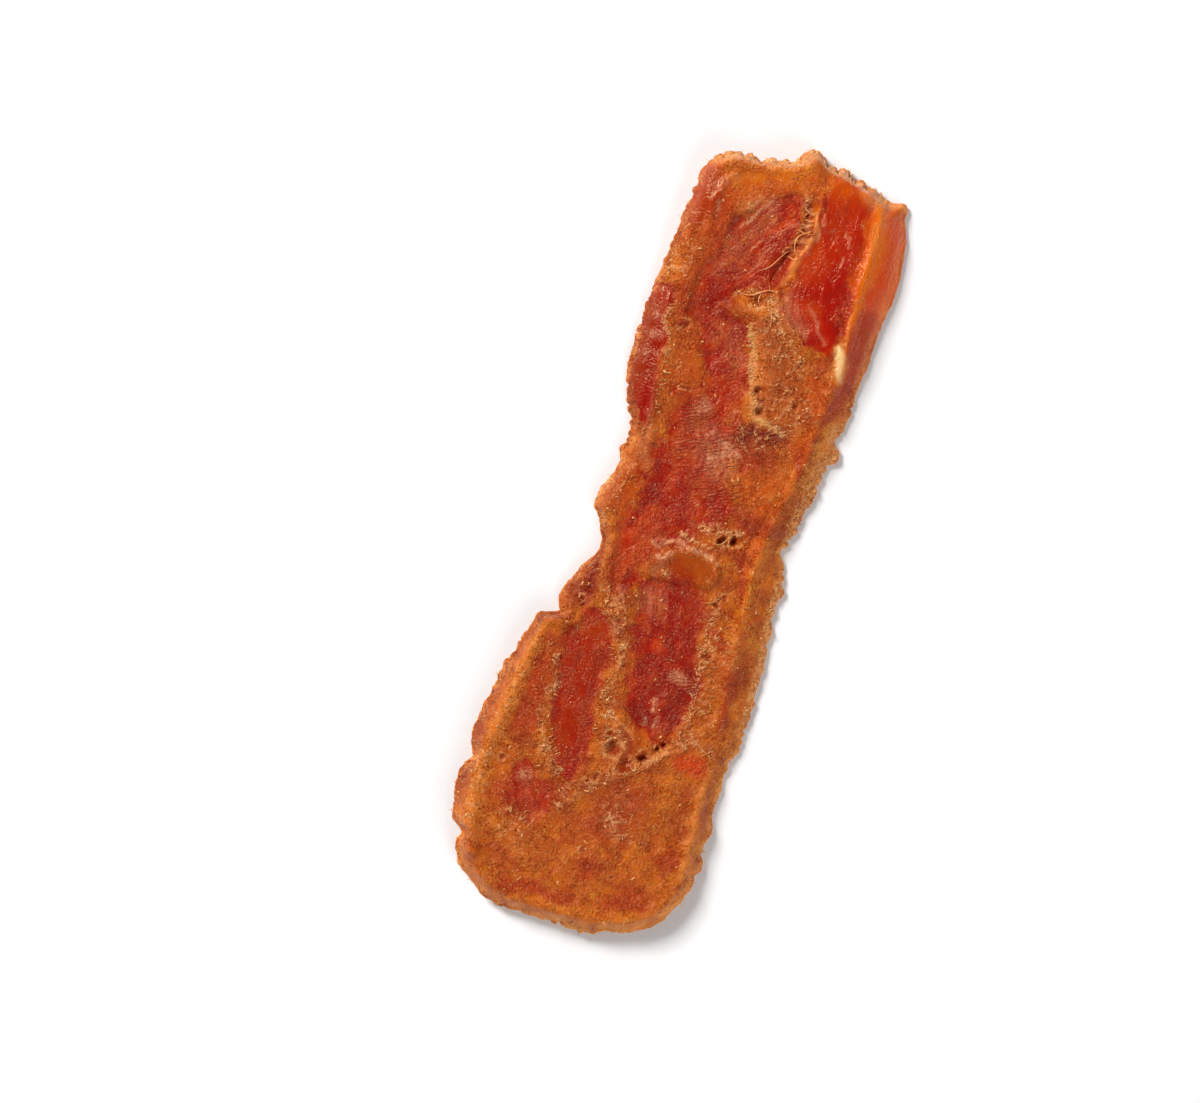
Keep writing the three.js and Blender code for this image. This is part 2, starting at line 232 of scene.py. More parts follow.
# Folds, ridges and torn grooves: how high (negative cuts in), how wide, and the line
FOLDS = {
    "lower left ridge": (1.1, 1.6, [
        (-15.5, -18.5), (-19.3, -19.5), (-20.5, -23), (-22, -33), (-24, -46), (-24, -52), (-23.5, -58),
        (-21.8, -62.5)]),
    "foot rim": (0.8, 1.6, [
        (-21.8, -62.5), (-19, -66), (-13, -68.6), (-7, -69), (0.5, -68.7), (8, -67.7), (13, -65),
        (15.5, -61), (15.8, -55), (15.8, -40)]),
    "right ridge": (0.8, 1.3, [
        (18.5, 24.5), (15.8, 12), (14.6, 3), (14, -3), (14, -9), (14.5, -16), (15.2, -30)]),
    "right groove": (-0.55, 0.9, [(16.8, 20), (15.4, 13), (12.6, 3), (12, -2), (12.9, -6), (13, -9.5)]),
    "head crest": (0.7, 1.2, [
        (19.3, 67), (19.8, 62), (19.6, 56), (19.3, 50), (19.8, 39), (19.3, 34), (18.8, 28)]),
    "muscle lip": (0.8, 0.7, [
        (8.6, 65.5), (8.6, 63), (8.7, 59.3), (8.2, 56), (6.8, 54), (5.8, 51.3), (5.1, 49), (5.3, 46.7),
        (7.5, 43.5), (10, 41), (13.5, 38.5)]),
    "head tear": (-0.9, 1.1, [(7, 63.5), (7.2, 60), (7, 56.8), (6, 54.5), (4.6, 52), (4.2, 49.8)]),
    "blister rim": (0.35, 0.6, [
        (-5.6, -4.5), (-5, -2), (-3, -0.6), (0, -0.3), (3, -0.4), (6.5, -1.3), (8.2, -3.6)]),
    "cross tear": (-0.8, 1.0, [(-1.5, 45.6), (2.5, 45), (4.5, 45.4)]),
    "pitted tear": (-0.5, 0.9, [(0.8, -41), (3.7, -39.2), (6, -36.8), (7, -35.7)]),
    "foot scarp": (0.45, 1.2, [
        (-8.5, -50.5), (-6, -46.5), (-4, -45.5), (-1, -43.8), (2, -42.3), (5, -40), (8, -37),
        (10.5, -35.2)]),
    "head lip": (1.0, 1.5, [(-11.5, 67.5), (-8, 68.5), (-3, 69.2), (1, 69.7), (5.5, 71.5)]),
    "head right lip": (0.6, 1.2, [(8, 70.6), (12, 70.3), (16, 69.7), (19.5, 67.8)]),
    "upper left crest": (0.35, 0.9, [
        (-13.3, 41), (-12, 37), (-11.7, 32), (-11.2, 27), (-10.7, 21), (-9.8, 16)]),
    "left facet fold": (0.5, 0.9, [(-7.2, 66), (-8.8, 64), (-10, 60), (-9.8, 55)]),
    "muscle fold": (0.3, 0.8, [(-9.4, -22), (-9.6, -28), (-9.2, -34)]),
    "pink fold": (0.6, 1.4, [(-7, -4.5), (-7.6, -8), (-6.6, -12.5)]),
}
# Small holes: x, y, radius and depth
PITS = [
    (7.5, 61.6, 0.8, 0.5), (7.3, 58.4, 0.9, 0.7), (6.8, 55.8, 0.8, 0.6), (5.4, 54.2, 0.6, 0.5),
    (2.4, 45, 0.9, 0.6), (6.9, 29.6, 0.9, 1.8), (7.9, 28, 0.55, 1.2), (7.8, 26.2, 0.9, 1.8),
    (12.8, 35.7, 0.6, 0.9), (13.7, 28.6, 0.65, 1), (-8.8, 37.7, 0.8, 0.8), (-6.3, 26.8, 0.5, 0.5),
    (-8.8, 30, 0.5, 0.5), (7.3, 2.1, 0.9, 2.6), (9.3, 2.5, 0.9, 2.8), (8.4, 1.7, 0.6, 1.6),
    (10.2, -18.5, 0.8, 0.8), (8.6, -9.3, 0.5, 0.8), (9.7, -8.2, 0.5, 0.8), (-2.2, -38.6, 1.35, 2),
    (-3.4, -36.2, 0.7, 0.8), (3.7, -39.3, 0.85, 2), (5.7, -37.2, 0.6, 1.6), (6.8, -35.9, 0.6, 1.4),
    (0.8, -41, 1.3, 0.6), (-3.6, -44.4, 0.5, 0.8), (-16.6, -36.5, 0.6, 0.8), (-16, -38, 0.6, 0.8),
    (-20.7, -45.2, 0.5, 0.6), (-2.5, -58.1, 0.45, 0.5), (-14, -14.2, 0.5, 0.6), (-7, -16.4, 0.6, 0.7),
]
# Lines of whitish, crumbly dried fat and tissue, each a spine of x, y and half width
CRUMB_LINES = [
    [(-11.4, -11.2, 0.5), (-9, -12.8, 1.4), (-7.8, -15.5, 1.6), (-6.5, -17.5, 1), (-5, -20, 0.7),
     (-5, -24, 0.7), (-5.2, -29, 0.8), (-4.3, -33, 0.9), (-3.5, -35.5, 1.2), (-2.5, -38.5, 1.9),
     (-2, -41, 0.8)],
    [(-15.6, -25, 0.3), (-15.3, -29, 0.4), (-14.9, -33, 0.6), (-15.5, -35.5, 0.9), (-16.3, -37.5, 1),
     (-15, -39.5, 0.8), (-13, -42, 0.9), (-11.5, -44.5, 0.9), (-9.8, -46, 0.6)],
    [(-8, -50, 1.4), (-6, -47, 1.1), (-4, -45.5, 0.8), (-1.5, -43.5, 0.9), (1.5, -42, 0.5),
     (5, -39.5, 0.5), (8, -36.3, 0.6), (9.5, -34.5, 0.9)],
    [(8.8, -8, 0.6), (9.4, -12, 0.5), (9.2, -15, 0.5), (9.8, -18.5, 1), (9.2, -22, 0.4),
     (9.5, -28, 0.4), (9.8, -32, 0.8), (12, -34.5, 0.8), (15, -36, 0.6)],
    [(2, 40.6, 0.4), (3.8, 37.2, 0.6), (4.4, 34, 0.6), (5, 30.8, 0.6), (6.8, 29.6, 1.1), (7.5, 27.5, 1),
     (7.8, 25.7, 1.1), (9.5, 24.8, 0.9), (12.5, 23.8, 0.6)],
    [(4.8, 46, 0.7), (6.2, 44, 0.7), (7.3, 41, 1), (9.5, 39.8, 0.6), (12.3, 37.6, 0.8), (13.3, 36, 0.9),
     (14, 34, 0.5)],
    [(-2, 45.5, 0.4), (1, 46.3, 0.4), (3.5, 47.4, 0.4)],
    [(6.2, 64.8, 0.8), (7, 61, 0.8), (6.9, 58, 0.7)],
    [(2.5, 3.7, 0.7), (4.5, 3.9, 0.8), (6.3, 3.6, 0.6), (9.6, 3.9, 0.5)],
    [(-0.5, 0.9, 0.4), (4, 0.6, 0.3), (8, 0.3, 0.4)],
    [(-3.5, -6.2, 0.6), (-0.8, -6.5, 0.9)],
    [(-12.5, 40, 0.4), (-11.7, 35, 0.4), (-11.2, 31.4, 0.4)],
    [(-19, -54.6, 0.5), (-16, -54.6, 0.4), (-13, -55, 0.4)],
    [(0.5, -51, 0.8), (1.5, -54.5, 0.9), (4.5, -54, 0.5)],
]


def relief(x, y):
    """Height of the muscles, patches, folds, tears and swellings over the slab: each stroke lifts by a
    smooth step of the distance over its half width, and each fold by a bell curve of its distance."""
    height = 0.35 * (0.7 * noise(x, y, 8, 1) + 0.5 * noise(x, y, 3.6, 2))
    for rise, spine in [*MUSCLES.values(), *PATCHES.values()]:
        height = height + rise * stroke(x, y, spine)
    for rise, width, line in FOLDS.values():
        height = height + rise * bell(beside(x, y, line)[0], width)
    return height


def stroke(x, y, spine, soft=0.3):
    """1 inside a brush stroke and 0 outside it, with a smooth step over the soft share of its half width.
    The stroke follows its spine, and its half width runs evenly from point to point. One point alone is a
    dot."""
    if len(spine) == 1:
        distance, half = np.hypot(x - spine[0][0], y - spine[0][1]), spine[0][2]
    else:
        distance, run, _ = beside(x, y, [(a, b) for a, b, _ in spine])
        half = np.interp(run, np.arange(len(spine)), [w for _, _, w in spine])
    return 1 - smooth_step(1 - soft, 1 + soft, distance / half)


def painted(x, y, spines, soft=0.3):
    """The strongest of several strokes."""
    return np.maximum.reduce([stroke(x, y, spine, soft) for spine in spines])


def wandering(x, y):
    """Places nudged by noise of three sizes, so that smooth strokes get uneven borders."""
    wx, wy = x, y
    for size, reach, seed_x, seed_y in ((4.2, 0.8, 20, 29), (1.9, 0.5, 21, 23), (0.8, 0.25, 22, 24)):
        wx = wx + reach * noise(x, y, size, seed_x)
        wy = wy + reach * noise(x, y, size, seed_y)
    return wx, wy


# The light that the meat's sheen adds to each of its colours, and the colours, as screen values
SHEEN = (0.034, 0.024, 0.016)
TAN, GOLD, AMBER, YELLOW = (198, 94, 34), (218, 118, 44), (204, 86, 22), (236, 120, 32)
BROWN, RUST, ROSE = (170, 74, 32), (178, 62, 24), (188, 74, 40)
RED, CRIMSON, PLUM_SHEEN, FLAME = (170, 48, 22), (144, 26, 12), (168, 70, 50), (206, 72, 20)
UMBER, WALL = (132, 44, 26), (224, 78, 16)
# The rim colour is the crust's paler edge with painted light in it
PALE, CREAM, CAVITY, PALE_RIM_AND_LIGHT = (248, 166, 96), (253, 202, 138), (164, 58, 24), (244, 152, 66)
CRUMB, CRUMB_GAP, MILK_AND_GLINT, BLISTER = (252, 188, 128), (158, 66, 26), (236, 166, 122), (172, 82, 42)
PINK_TAN, STRAW, EMBER = (176, 76, 34), (210, 112, 38), (202, 74, 30)
SCARLET, CORAL, WINE, MUTED_ROSE = (188, 56, 24), (190, 76, 48), (160, 38, 18), (166, 70, 42)
# The flecks are pale specks and painted glints: small bright dots that stand for sparkle on the wet crust
HOLLOW, FLECK_AND_GLINT = (150, 50, 22), (236, 180, 128)
# Coats of colour, laid over each other on the crust: the colour, how strong, how soft, and the spines
COATS = [
    (AMBER, 0.7, 0.8, [
        [(-10, 62, 4), (-11, 50, 4), (-9, 36, 4), (-9, 24, 3)], [(-4, 66, 4), (4, 67, 3)],
        [(-10.5, 14, 3), (-11.5, 6, 3)], [(16, 33, 3), (18, 22, 3)], [(12, 12, 4), (12, 2, 3)]]),
    (RUST, 0.75, 0.8, [
        [(-17.3, -24, 1.8), (-18.3, -32, 2.4), (-19, -39, 2)], [(-17.5, -51, 3.4), (-12, -51, 2.6)],
        [(12.5, -55.6, 2), (14, -55.3, 1)], [(-15, -66.3, 1.2), (-2, -66.3, 1)], [(-1, -61.5, 2)],
        [(8, -64, 2.6), (5, -66, 1.6)], [(-8.5, 60, 1.6), (-7.5, 55, 1.6)], [(10.5, 17.5, 2)],
        [(10.5, 6, 2)], [(-11, 44, 1.6), (-9, 38, 1.5)], [(3, -48, 3), (-1, -53, 2.5)],
        [(-14.3, -8, 1.6), (-14.5, -13, 1.6)], [(10.5, -14, 1), (16, -22, 1), (16.2, -31, 0.8)]]),
    (UMBER, 0.85, 0.9, [[(4, 20.5, 1.6), (8, 21.5, 2.4), (12.5, 22.5, 2)]]),
    (BROWN, 0.6, 0.9, [
        [(17.4, -42, 0.7), (17.4, -56, 0.7)], [(2, -47, 3.4), (0, -52, 3)], [(6, 9, 3), (6, 5, 2)],
        [(1, -3.5, 4)], [(-12, -57, 2)]]),
    (GOLD, 0.75, 0.8, [
        [(-19.5, -20, 1), (-20.8, -26, 1.1), (-22, -33, 1.4), (-23.5, -40, 1.4), (-24.2, -48, 1.5),
         (-23.8, -58, 1.3)], [(-12.4, 16, 0.8), (-13.6, 11, 0.9), (-15.4, 6, 1.3), (-15.7, 1.5, 1.2)],
        [(-13.5, 50, 1.8), (-14.5, 45, 1)], [(-4, 66.8, 1.2), (0, 67.5, 1.4), (5, 69.5, 1.4)],
        [(22.3, 68.2, 1)], [(15.7, -57, 0.9), (15.8, -48, 1), (15.9, -41, 0.8)],
        [(12.5, -22, 1.8), (12.2, -28, 1.6)], [(-22.5, -65, 1.2), (-17, -69.3, 1), (-9, -70.4, 0.9),
         (0, -69.8, 0.9), (8, -68.5, 1), (13, -65.5, 1.3), (15.6, -61, 1)],
        [(-9, -68.6, 1), (2, -68.2, 1.2), (9, -66.6, 1)],
        [(14.8, 3, 0.8), (14.2, -3, 0.8), (14, -9, 0.8)], [(-11.3, -5, 0.7), (-11.2, -11, 0.8)],
        [(-6.4, -40, 0.7), (-4, -43.4, 1)], [(20.3, 29, 0.9), (20.5, 20, 1)],
        [(17.8, -26, 1.2), (17.3, -34, 0.8)], [(4.5, 35, 0.8), (6.5, 30, 1)],
        [(5, 44, 1.2), (2.5, 43, 1.2)]]),
]
# The same on the bare muscle
MUSCLE_COATS = [
    (ROSE, 0.5, 0.9, [
        [(-7, 28, 1.5), (1, 30, 2.6), (0, 27, 2)], [(-6, 18, 3), (4, 14, 3)],
        [(-7.5, -25, 1.2), (-7.6, -36, 1.4)], [(-11, -18.5, 2.6)], [(-14.5, -49, 2.5)],
        [(0, -13, 3.5), (5, -14, 2.5)], [(-5, 1, 2.5), (-8, -6, 1.5)]]),
    (SCARLET, 0.9, 0.9, [[(13, 64, 5), (13, 54, 5), (12.5, 48, 4.5), (15.5, 43, 2)]]),
    (CORAL, 0.6, 0.9, [
        [(9.6, 57, 1.2), (9.2, 52, 2.2), (8.5, 50, 1.4)], [(12, 64.5, 2)], [(11.6, 60.8, 1.8)],
        [(12, 46.5, 1.6)]]),
    (WINE, 0.6, 0.9, [[(14.8, 54, 1.6), (15.6, 49, 1.8), (16.4, 44, 1.2)]]),
    (CRIMSON, 0.75, 0.9, [[(2, -18, 4), (3.5, -22, 4)]]),
    (CRIMSON, 0.8, 0.9, [
        [(7.2, -25, 2.6), (6.4, -31, 3)], [(1, -27, 2.4), (1.5, -32, 2)], [(-8, 12, 1.2), (-7, 6, 1.6)],
        [(-6, 43, 2.4), (-4, 40, 2)], [(-14, 25, 1.5), (-13, 21, 1.2)], [(-7.3, 47, 1.3)],
        [(2, -9, 2.4)]]),
    (FLAME, 0.7, 0.9, [
        [(9.5, 68, 2.6), (13, 68.5, 2.6)], [(1, -18.5, 1.2)], [(4.5, 26.5, 1.6)], [(3, 23.5, 2)],
        [(6, 63, 0.7), (3.5, 59.5, 0.8), (1, 57, 0.6)], [(-1, 49.5, 0.6), (-3, 47, 0.9)],
        [(-9.5, -1, 2), (-11, 3, 1.2)], [(9, 58, 1), (8, 53, 1)]]),
    (MUTED_ROSE, 0.45, 0.9, [[(-11, -20, 3), (-11, -27, 3.2), (-10.4, -36, 2.6), (-9.4, -43, 1.8)]]),
    # Grey-purple patches: partly the muscle's own lilac film, partly a painted sheen, the lamps' reflection
    # on the wet meat painted into its colour
    (PLUM_SHEEN, 0.75, 0.9, [
        [(1, 60, 1.4), (-3.5, 55, 2.4), (-6.3, 49, 1.8)],
        [(7.5, 46, 1.2), (8.5, 43.8, 1.8), (11.5, 42, 1)], [(-0.5, 38, 2.8), (1.5, 33.5, 1.8)],
        [(-2.5, 24.8, 1.8), (-3, 21, 1.8)], [(3.5, 17, 3)], [(-16.3, -46.3, 1)],
        [(1.2, -37.5, 1.1), (0.8, -40.5, 1.2)], [(-2, -11.5, 2.2)], [(6.2, -23.2, 1.4)],
        [(5.5, -34, 1.4)], [(-6.3, -18, 1.4)]]),
]
# The same over both of them, each named for its place on the strip; some are painted light and painted
# shade, and say so
LAST_COATS = {
    "dull blotches": ((156, 58, 18), 0.6, 0.9, [
        [(-12.6, -11, 1), (-12, -6, 1.2)], [(-6, -11.8, 1.3)], [(8, -11.6, 1)],
        [(9.5, -6, 1.5), (12, -5, 1)], [(6, 0.2, 1.2), (12.4, 0.2, 1)], [(11, 6, 1.8), (17.6, 6, 1)],
        [(8, 18, 1.8), (12, 18, 1.6)], [(-1.2, 42, 1.7), (1.6, 42, 1.2)],
        [(-13.2, 43, 1), (-13, 36, 0.9)], [(12.6, -43.5, 1.4)], [(-10, -48, 1.6), (-8, -48, 1)],
        [(-16, -54, 1.8)], [(3.2, 24, 1.3)], [(-12, 18, 1), (-11.4, 24, 0.9)], [(19, 24, 0.9)],
        [(-18, -42, 1.4)], [(-1.6, -60, 1.2)], [(6, 54, 0.7)], [(-1, 42, 0.9)], [(-4, -36, 1.3)],
        [(-6, -42, 1.1)], [(8, -18, 0.9)], [(4, -54, 1.3)], [(-16, -48, 1.3)], [(-22, -52, 0.7)],
        [(-15, -30, 0.6)], [(-12.4, -12.2, 1)], [(-6.4, -12, 0.8)], [(-6, -18, 0.8)],
        [(-16, -18.2, 0.9)], [(-4, -24, 0.9)], [(18, 7, 1.2)], [(18, -6, 1.1)], [(6, 49, 0.9)],
        [(-13, 36, 0.8)]]),
    # Painted shade: darker colour along the edges, mostly the left one, standing for the shade under the
    # edge
    "painted shade along the edges": ((140, 52, 22), 0.5, 0.9, [
        [(-14.8, 66, 1), (-15.3, 54, 1.2), (-16.2, 42, 1.3), (-16.3, 28, 1.2), (-13.8, 14, 0.8)],
        [(-15.8, 1, 1), (-13.6, -4, 1.2), (-17, -12, 1.2)], [(-18, -17.6, 1.2), (-20, -18.5, 1.2),
         (-24, -24, 1.4), (-25.5, -33, 1.5), (-27, -44, 1.6), (-27, -54, 1.6)],
        [(19.5, 8, 1.4), (19, 2, 1.2)], [(19, -6, 1)], [(22, 36, 1.2)], [(17.4, -36, 1)]]),
    # Lighter blotches; the spine on the lower left ridge's flank is painted light, lifting the shade on the
    # side away from the main lamp
    "bright blotches and painted light": ((226, 134, 68), 0.5, 0.9, [
        [(14, -14, 0.8), (14.2, -19, 1.1)], [(16, -38, 0.9), (15.8, -48, 1), (15.6, -58, 0.9)],
        [(12, -66, 1.1)], [(15, 24, 1.1)], [(14, 12, 1.2)], [(-11, 38, 0.9), (-10.9, 30, 1)],
        [(-8.3, 24, 1.4)], [(-10, 12, 1.1)], [(-3.6, -6, 1.1), (-1, -6.4, 1)], [(-7, 66, 1.6)],
        [(5, 66, 1.3)], [(-20.8, -32, 0.8), (-21.9, -42, 0.9)], [(-14, -60, 1.6)], [(-5, -60, 1.4)],
        [(14, -48, 0.9)], [(-3, 60.3, 1)], [(17, 36, 1)], [(15, -42, 1.8)], [(-6, -48, 1)],
        [(9, 24, 1.1)], [(-7, 24, 1)], [(-14, -12, 0.9)], [(-2, -42.4, 1)], [(10, -42, 1)],
        [(16.3, -42, 1.4)], [(-21.8, -60, 1)], [(-12.2, -42, 1)], [(-12, -54, 1)], [(-19.4, -24, 1.3)],
        [(13, -18, 1.3)], [(16, 36, 1.4)], [(15, 24.4, 1)], [(-6, 54, 0.8)], [(1, 60, 0.8)],
        [(-12, -42.4, 0.9)], [(4, -42.3, 0.7)]]),
    "deep red blotches": ((150, 40, 16), 0.5, 0.9, [
        [(2, 54, 1.3)], [(4.6, 48.5, 1)], [(-2, 54, 0.8)], [(-7, 42, 1.2)], [(-8.3, -30, 1)],
        [(0.5, -24, 1.2), (2.4, -24, 1)], [(8, -24, 0.9), (8, -30, 0.9)], [(-2, 6, 1.4)],
        [(6, -12, 1.2), (6.4, -18, 1)]]),
    "right wall of the head": (WALL, 0.9, 0.6, [
        [(22.9, 64, 2.6), (23.1, 58, 3), (22.9, 51, 2.4), (22.4, 47, 1.4)]]),
    "right corner of the head": (GOLD, 0.85, 0.7, [
        [(19.6, 68.8, 1), (21.5, 68.4, 1.2), (23.6, 68.6, 1.3)]]),
    "fold left of the head muscle": ((200, 78, 28), 0.6, 0.9, [
        [(-7.2, 62.5, 1), (-7.9, 57, 1.3), (-8.6, 50, 1.4), (-8.8, 45, 1.2)]]),
    "left facet of the head": ((164, 62, 30), 0.8, 0.7, [
        [(-12.2, 65, 2.2), (-11.5, 60, 2.8), (-12.3, 56.3, 1.6)]]),
    "shade along the head muscle": ((150, 48, 24), 0.2, 0.9, [
        [(-3.6, 61.5, 0.3), (-5.4, 57, 0.4), (-6.8, 52, 0.4), (-7.8, 46.5, 0.4)]]),
    "gold spots on the head": (GOLD, 0.6, 0.9, [[(-4.4, 60.8, 1.2)], [(-1.8, 62.2, 0.8)]]),
    # Painted light: a paler coat on the ridge's flank that faces away from the main lamp, lifting its shade
    "lower left ridge": ((238, 138, 62), 0.5, 0.9, [
        [(-20.4, -26, 0.8), (-21.4, -33, 1), (-22.6, -42, 1.1), (-23.5, -50, 1.2), (-22.9, -58, 1.1)]]),
    "pale spots at the left": ((186, 106, 68), 0.6, 0.9, [[(-10.8, 17.5, 1.6), (-10.5, 13, 1.6)]]),
    "gold corners of the foot": (GOLD, 0.4, 0.9, [[(9, -58.5, 2.6)], [(-20, -57, 2.2)]]),
    "shade on the flap": ((156, 52, 16), 0.5, 0.9, [[(-15, -8, 1.6), (-15.2, -14, 2)]]),
    "upper left wall": ((162, 64, 36), 0.8, 0.8, [
        [(-15.8, 41, 1.4), (-15.8, 35, 1.7), (-15.6, 29, 1.7), (-14.3, 22, 1)]]),
    "red strip at the upper left": ((160, 42, 20), 0.85, 0.8, [
        [(-13.5, 38, 0.8), (-13, 30, 1.3), (-12.2, 23, 1.2), (-12, 19.6, 0.6)]]),
    "brown patches of crust": (BROWN, 0.45, 0.9, [
        [(12.2, -22, 2.4), (12, -28, 2.2)], [(8, -50, 3)], [(-3, -65, 2)], [(7, 38, 2.4)]]),
    "dark left wall": ((150, 60, 26), 0.5, 0.9, [
        [(-14.5, -6, 2), (-15, -14, 2.4)], [(-15, 38, 2), (-15, 28, 2)]]),
    "rosy island": ((182, 92, 58), 0.4, 0.9, [[(7, 40, 2), (9, 35, 3), (12, 30, 3), (15, 27, 2)]]),
    "dull upper left crust": (BROWN, 0.5, 0.9, [
        [(-9.5, 40, 2.5), (-9, 30, 2.4), (-9.5, 22, 2)], [(8, 37, 2.5), (11, 32, 2.5)],
        [(-13.5, 10, 2.4), (-14, 3, 2)], [(-10.8, 52, 2), (-10.5, 45, 1.8)]]),
    "red patch at the lower right": (FLAME, 0.85, 0.6, [[(10.5, -38, 1.6), (13.5, -38.5, 1.8)]]),
    "orange strip beside the crest": ((210, 78, 22), 0.8, 0.9, [
        [(17.8, 65, 1), (18.2, 61, 0.8), (18.4, 55, 1.2), (19, 50, 1.4), (19.4, 45, 1.2), (19.6, 41, 1)]]),
    "top of the right head muscle": ((218, 100, 26), 0.6, 0.9, [[(9.4, 69, 1.4), (12, 67.8, 1.6)]]),
    "pale end of the crest": ((234, 132, 72), 0.85, 0.9, [[(15.6, 68.6, 1.3), (18, 67.6, 1.7)]]),
    # Painted light: a brighter coat on the crest's right flank, which faces away from the main lamp
    "painted light on the crest's right flank": ((224, 102, 36), 0.6, 0.9, [
        [(21, 65.5, 1.2), (21.3, 58, 1.3), (20.8, 53, 0.7)]]),
    # The crest's own yellow band, widened over its right side as painted light, where the slope faces away
    # from the main lamp
    "yellow band and painted light on the crest": (YELLOW, 0.8, 0.9, [
        [(18.8, 67, 0.6), (20, 64, 1.3), (20.3, 60, 1.7), (20.2, 57, 1.4), (20, 53, 0.9),
         (20.1, 45, 0.7)]]),
    "right edge of the head": ((232, 104, 34), 0.7, 0.9, [[(25, 61, 1), (24.8, 54, 1), (24, 46, 0.9)]]),
    "deep red beside the crest": ((168, 42, 16), 0.75, 0.7, [
        [(17.6, 50, 0.8), (18, 47.5, 0.9), (18, 43.5, 0.7)]]),
    "deep red in the head muscle": ((160, 44, 20), 0.6, 0.9, [
        [(9.8, 48.3, 1.6), (12, 48.6, 1.4)], [(9.2, 64.6, 0.9)]]),
    "rose spot below the head muscle": (ROSE, 0.7, 0.6, [[(16.3, 37, 1.3), (16, 34, 0.9)]]),
    "lower right wall": ((180, 58, 14), 0.85, 0.8, [
        [(22.6, 47, 1.7), (22, 43, 1.8), (21.4, 34, 1.5), (20, 28, 1.1)]]),
    "right groove": (RUST, 0.85, 0.8, [
        [(16.8, 20, 0.7), (17.2, 17, 0.6)], [(11.2, 0, 0.6), (12.4, -4, 0.5), (13, -8, 0.4)]]),
    "pale lips and rims": (PALE, 0.5, 0.7, [
        [(8.4, 62.6, 0.3), (9, 60, 0.5), (8.3, 56.5, 0.5), (6.7, 53.3, 0.5), (5.6, 49, 0.4)],
        [(-10, 69.6, 0.9), (-4, 70, 0.8), (1, 70.5, 0.9), (6.3, 73.3, 0.9)],
        [(9, 71, 0.6), (15, 70.3, 0.6)],
        [(-3, -34.6, 0.35), (-1.6, -34, 0.4), (0.2, -35, 0.35), (1.4, -37, 0.25)],
        [(-4, -38.2, 0.3), (-3.2, -40, 0.4), (-1.6, -40.4, 0.4), (-0.6, -39, 0.4), (-0.8, -37.2, 0.3)],
        [(2.6, -40.4, 0.3), (4.8, -39.6, 0.4), (6.6, -37.6, 0.4), (7.8, -36, 0.4)]]),
    "pink fold": ((178, 74, 42), 0.75, 0.8, [
        [(-11, -3.4, 1.1), (-10.6, -6, 1.5), (-9.8, -9, 1.9), (-8.8, -12, 1.3)]]),
    "lit borders of the pink fold": ((210, 118, 50), 0.6, 0.8, [
        [(-12.6, -2.6, 0.5), (-12.4, -7, 0.6), (-12, -10.2, 0.7), (-10.6, -12, 0.5)],
        [(-5.5, -6.2, 0.9), (-4.9, -7.6, 0.5)]]),
    # Painted shade beside the pink fold and along the flap's wall
    "painted shade beside the pink fold": ((136, 40, 20), 0.7, 0.8, [
        [(-7.6, -6.6, 0.3), (-7.3, -9.5, 0.4), (-7.2, -12.6, 0.3)],
        [(-13.4, -8, 0.7), (-13, -12, 1), (-13.6, -14.5, 0.8)]]),
    "lit middle of the flap": ((206, 104, 48), 0.5, 0.8, [[(-15, -7.6, 1), (-16, -11, 0.7)]]),
    "blister": (BLISTER, 0.65, 0.7, [PATCHES["blister"][1]]),
    "gold between the upper pits": (GOLD, 0.8, 0.8, [[(7, 26, 0.9), (5.6, 24.6, 0.7)]]),
    "dark hollow at the lower muscle": ((158, 62, 36), 0.8, 0.8, [
        [(-1.6, -35.4, 1), (0, -37.2, 1.3), (1.2, -39.6, 1)]]),
    "gold bridge at the lower muscle": (GOLD, 0.7, 0.8, [
        [(2.6, -34.6, 0.6), (3.6, -36.6, 0.9), (4.4, -38.2, 0.6)]]),
    # Painted highlights: thin pale lines along the wet crest
    "painted highlights along the crest": (PALE, 0.5, 0.8, [
        [(19.3, 50, 0.2), (19.3, 46, 0.3), (19, 41.5, 0.4)],
        [(19.8, 64.5, 0.2), (20, 61, 0.3), (19.9, 58, 0.2)]]),
    "pale skin round the fat": (PALE, 0.8, 0.9, [[(18.4, 40.5, 1.1), (19.5, 37.5, 1.3), (19.8, 35, 0.8)]]),
    "lump of fat": (CREAM, 1.0, 0.7, [
        [(17.9, 40.6, 0.5), (18.8, 39.3, 1), (19.4, 37.4, 0.75), (19.9, 35, 0.3)]]),
    "right edge below the head": ((232, 150, 74), 0.6, 0.9, [
        [(20.8, 26.5, 1), (20.4, 22, 1.2), (19.4, 15, 1)]]),
    "left border of the island": ((240, 176, 104), 0.8, 0.8, [
        [(2, 41, 0.3), (4, 37.4, 0.5), (4.6, 34, 0.6), (5.2, 30.8, 0.7), (6.6, 28, 0.8), (7.4, 25, 0.9),
         (10, 24.4, 0.5), (13.4, 23, 0.4)]]),
}
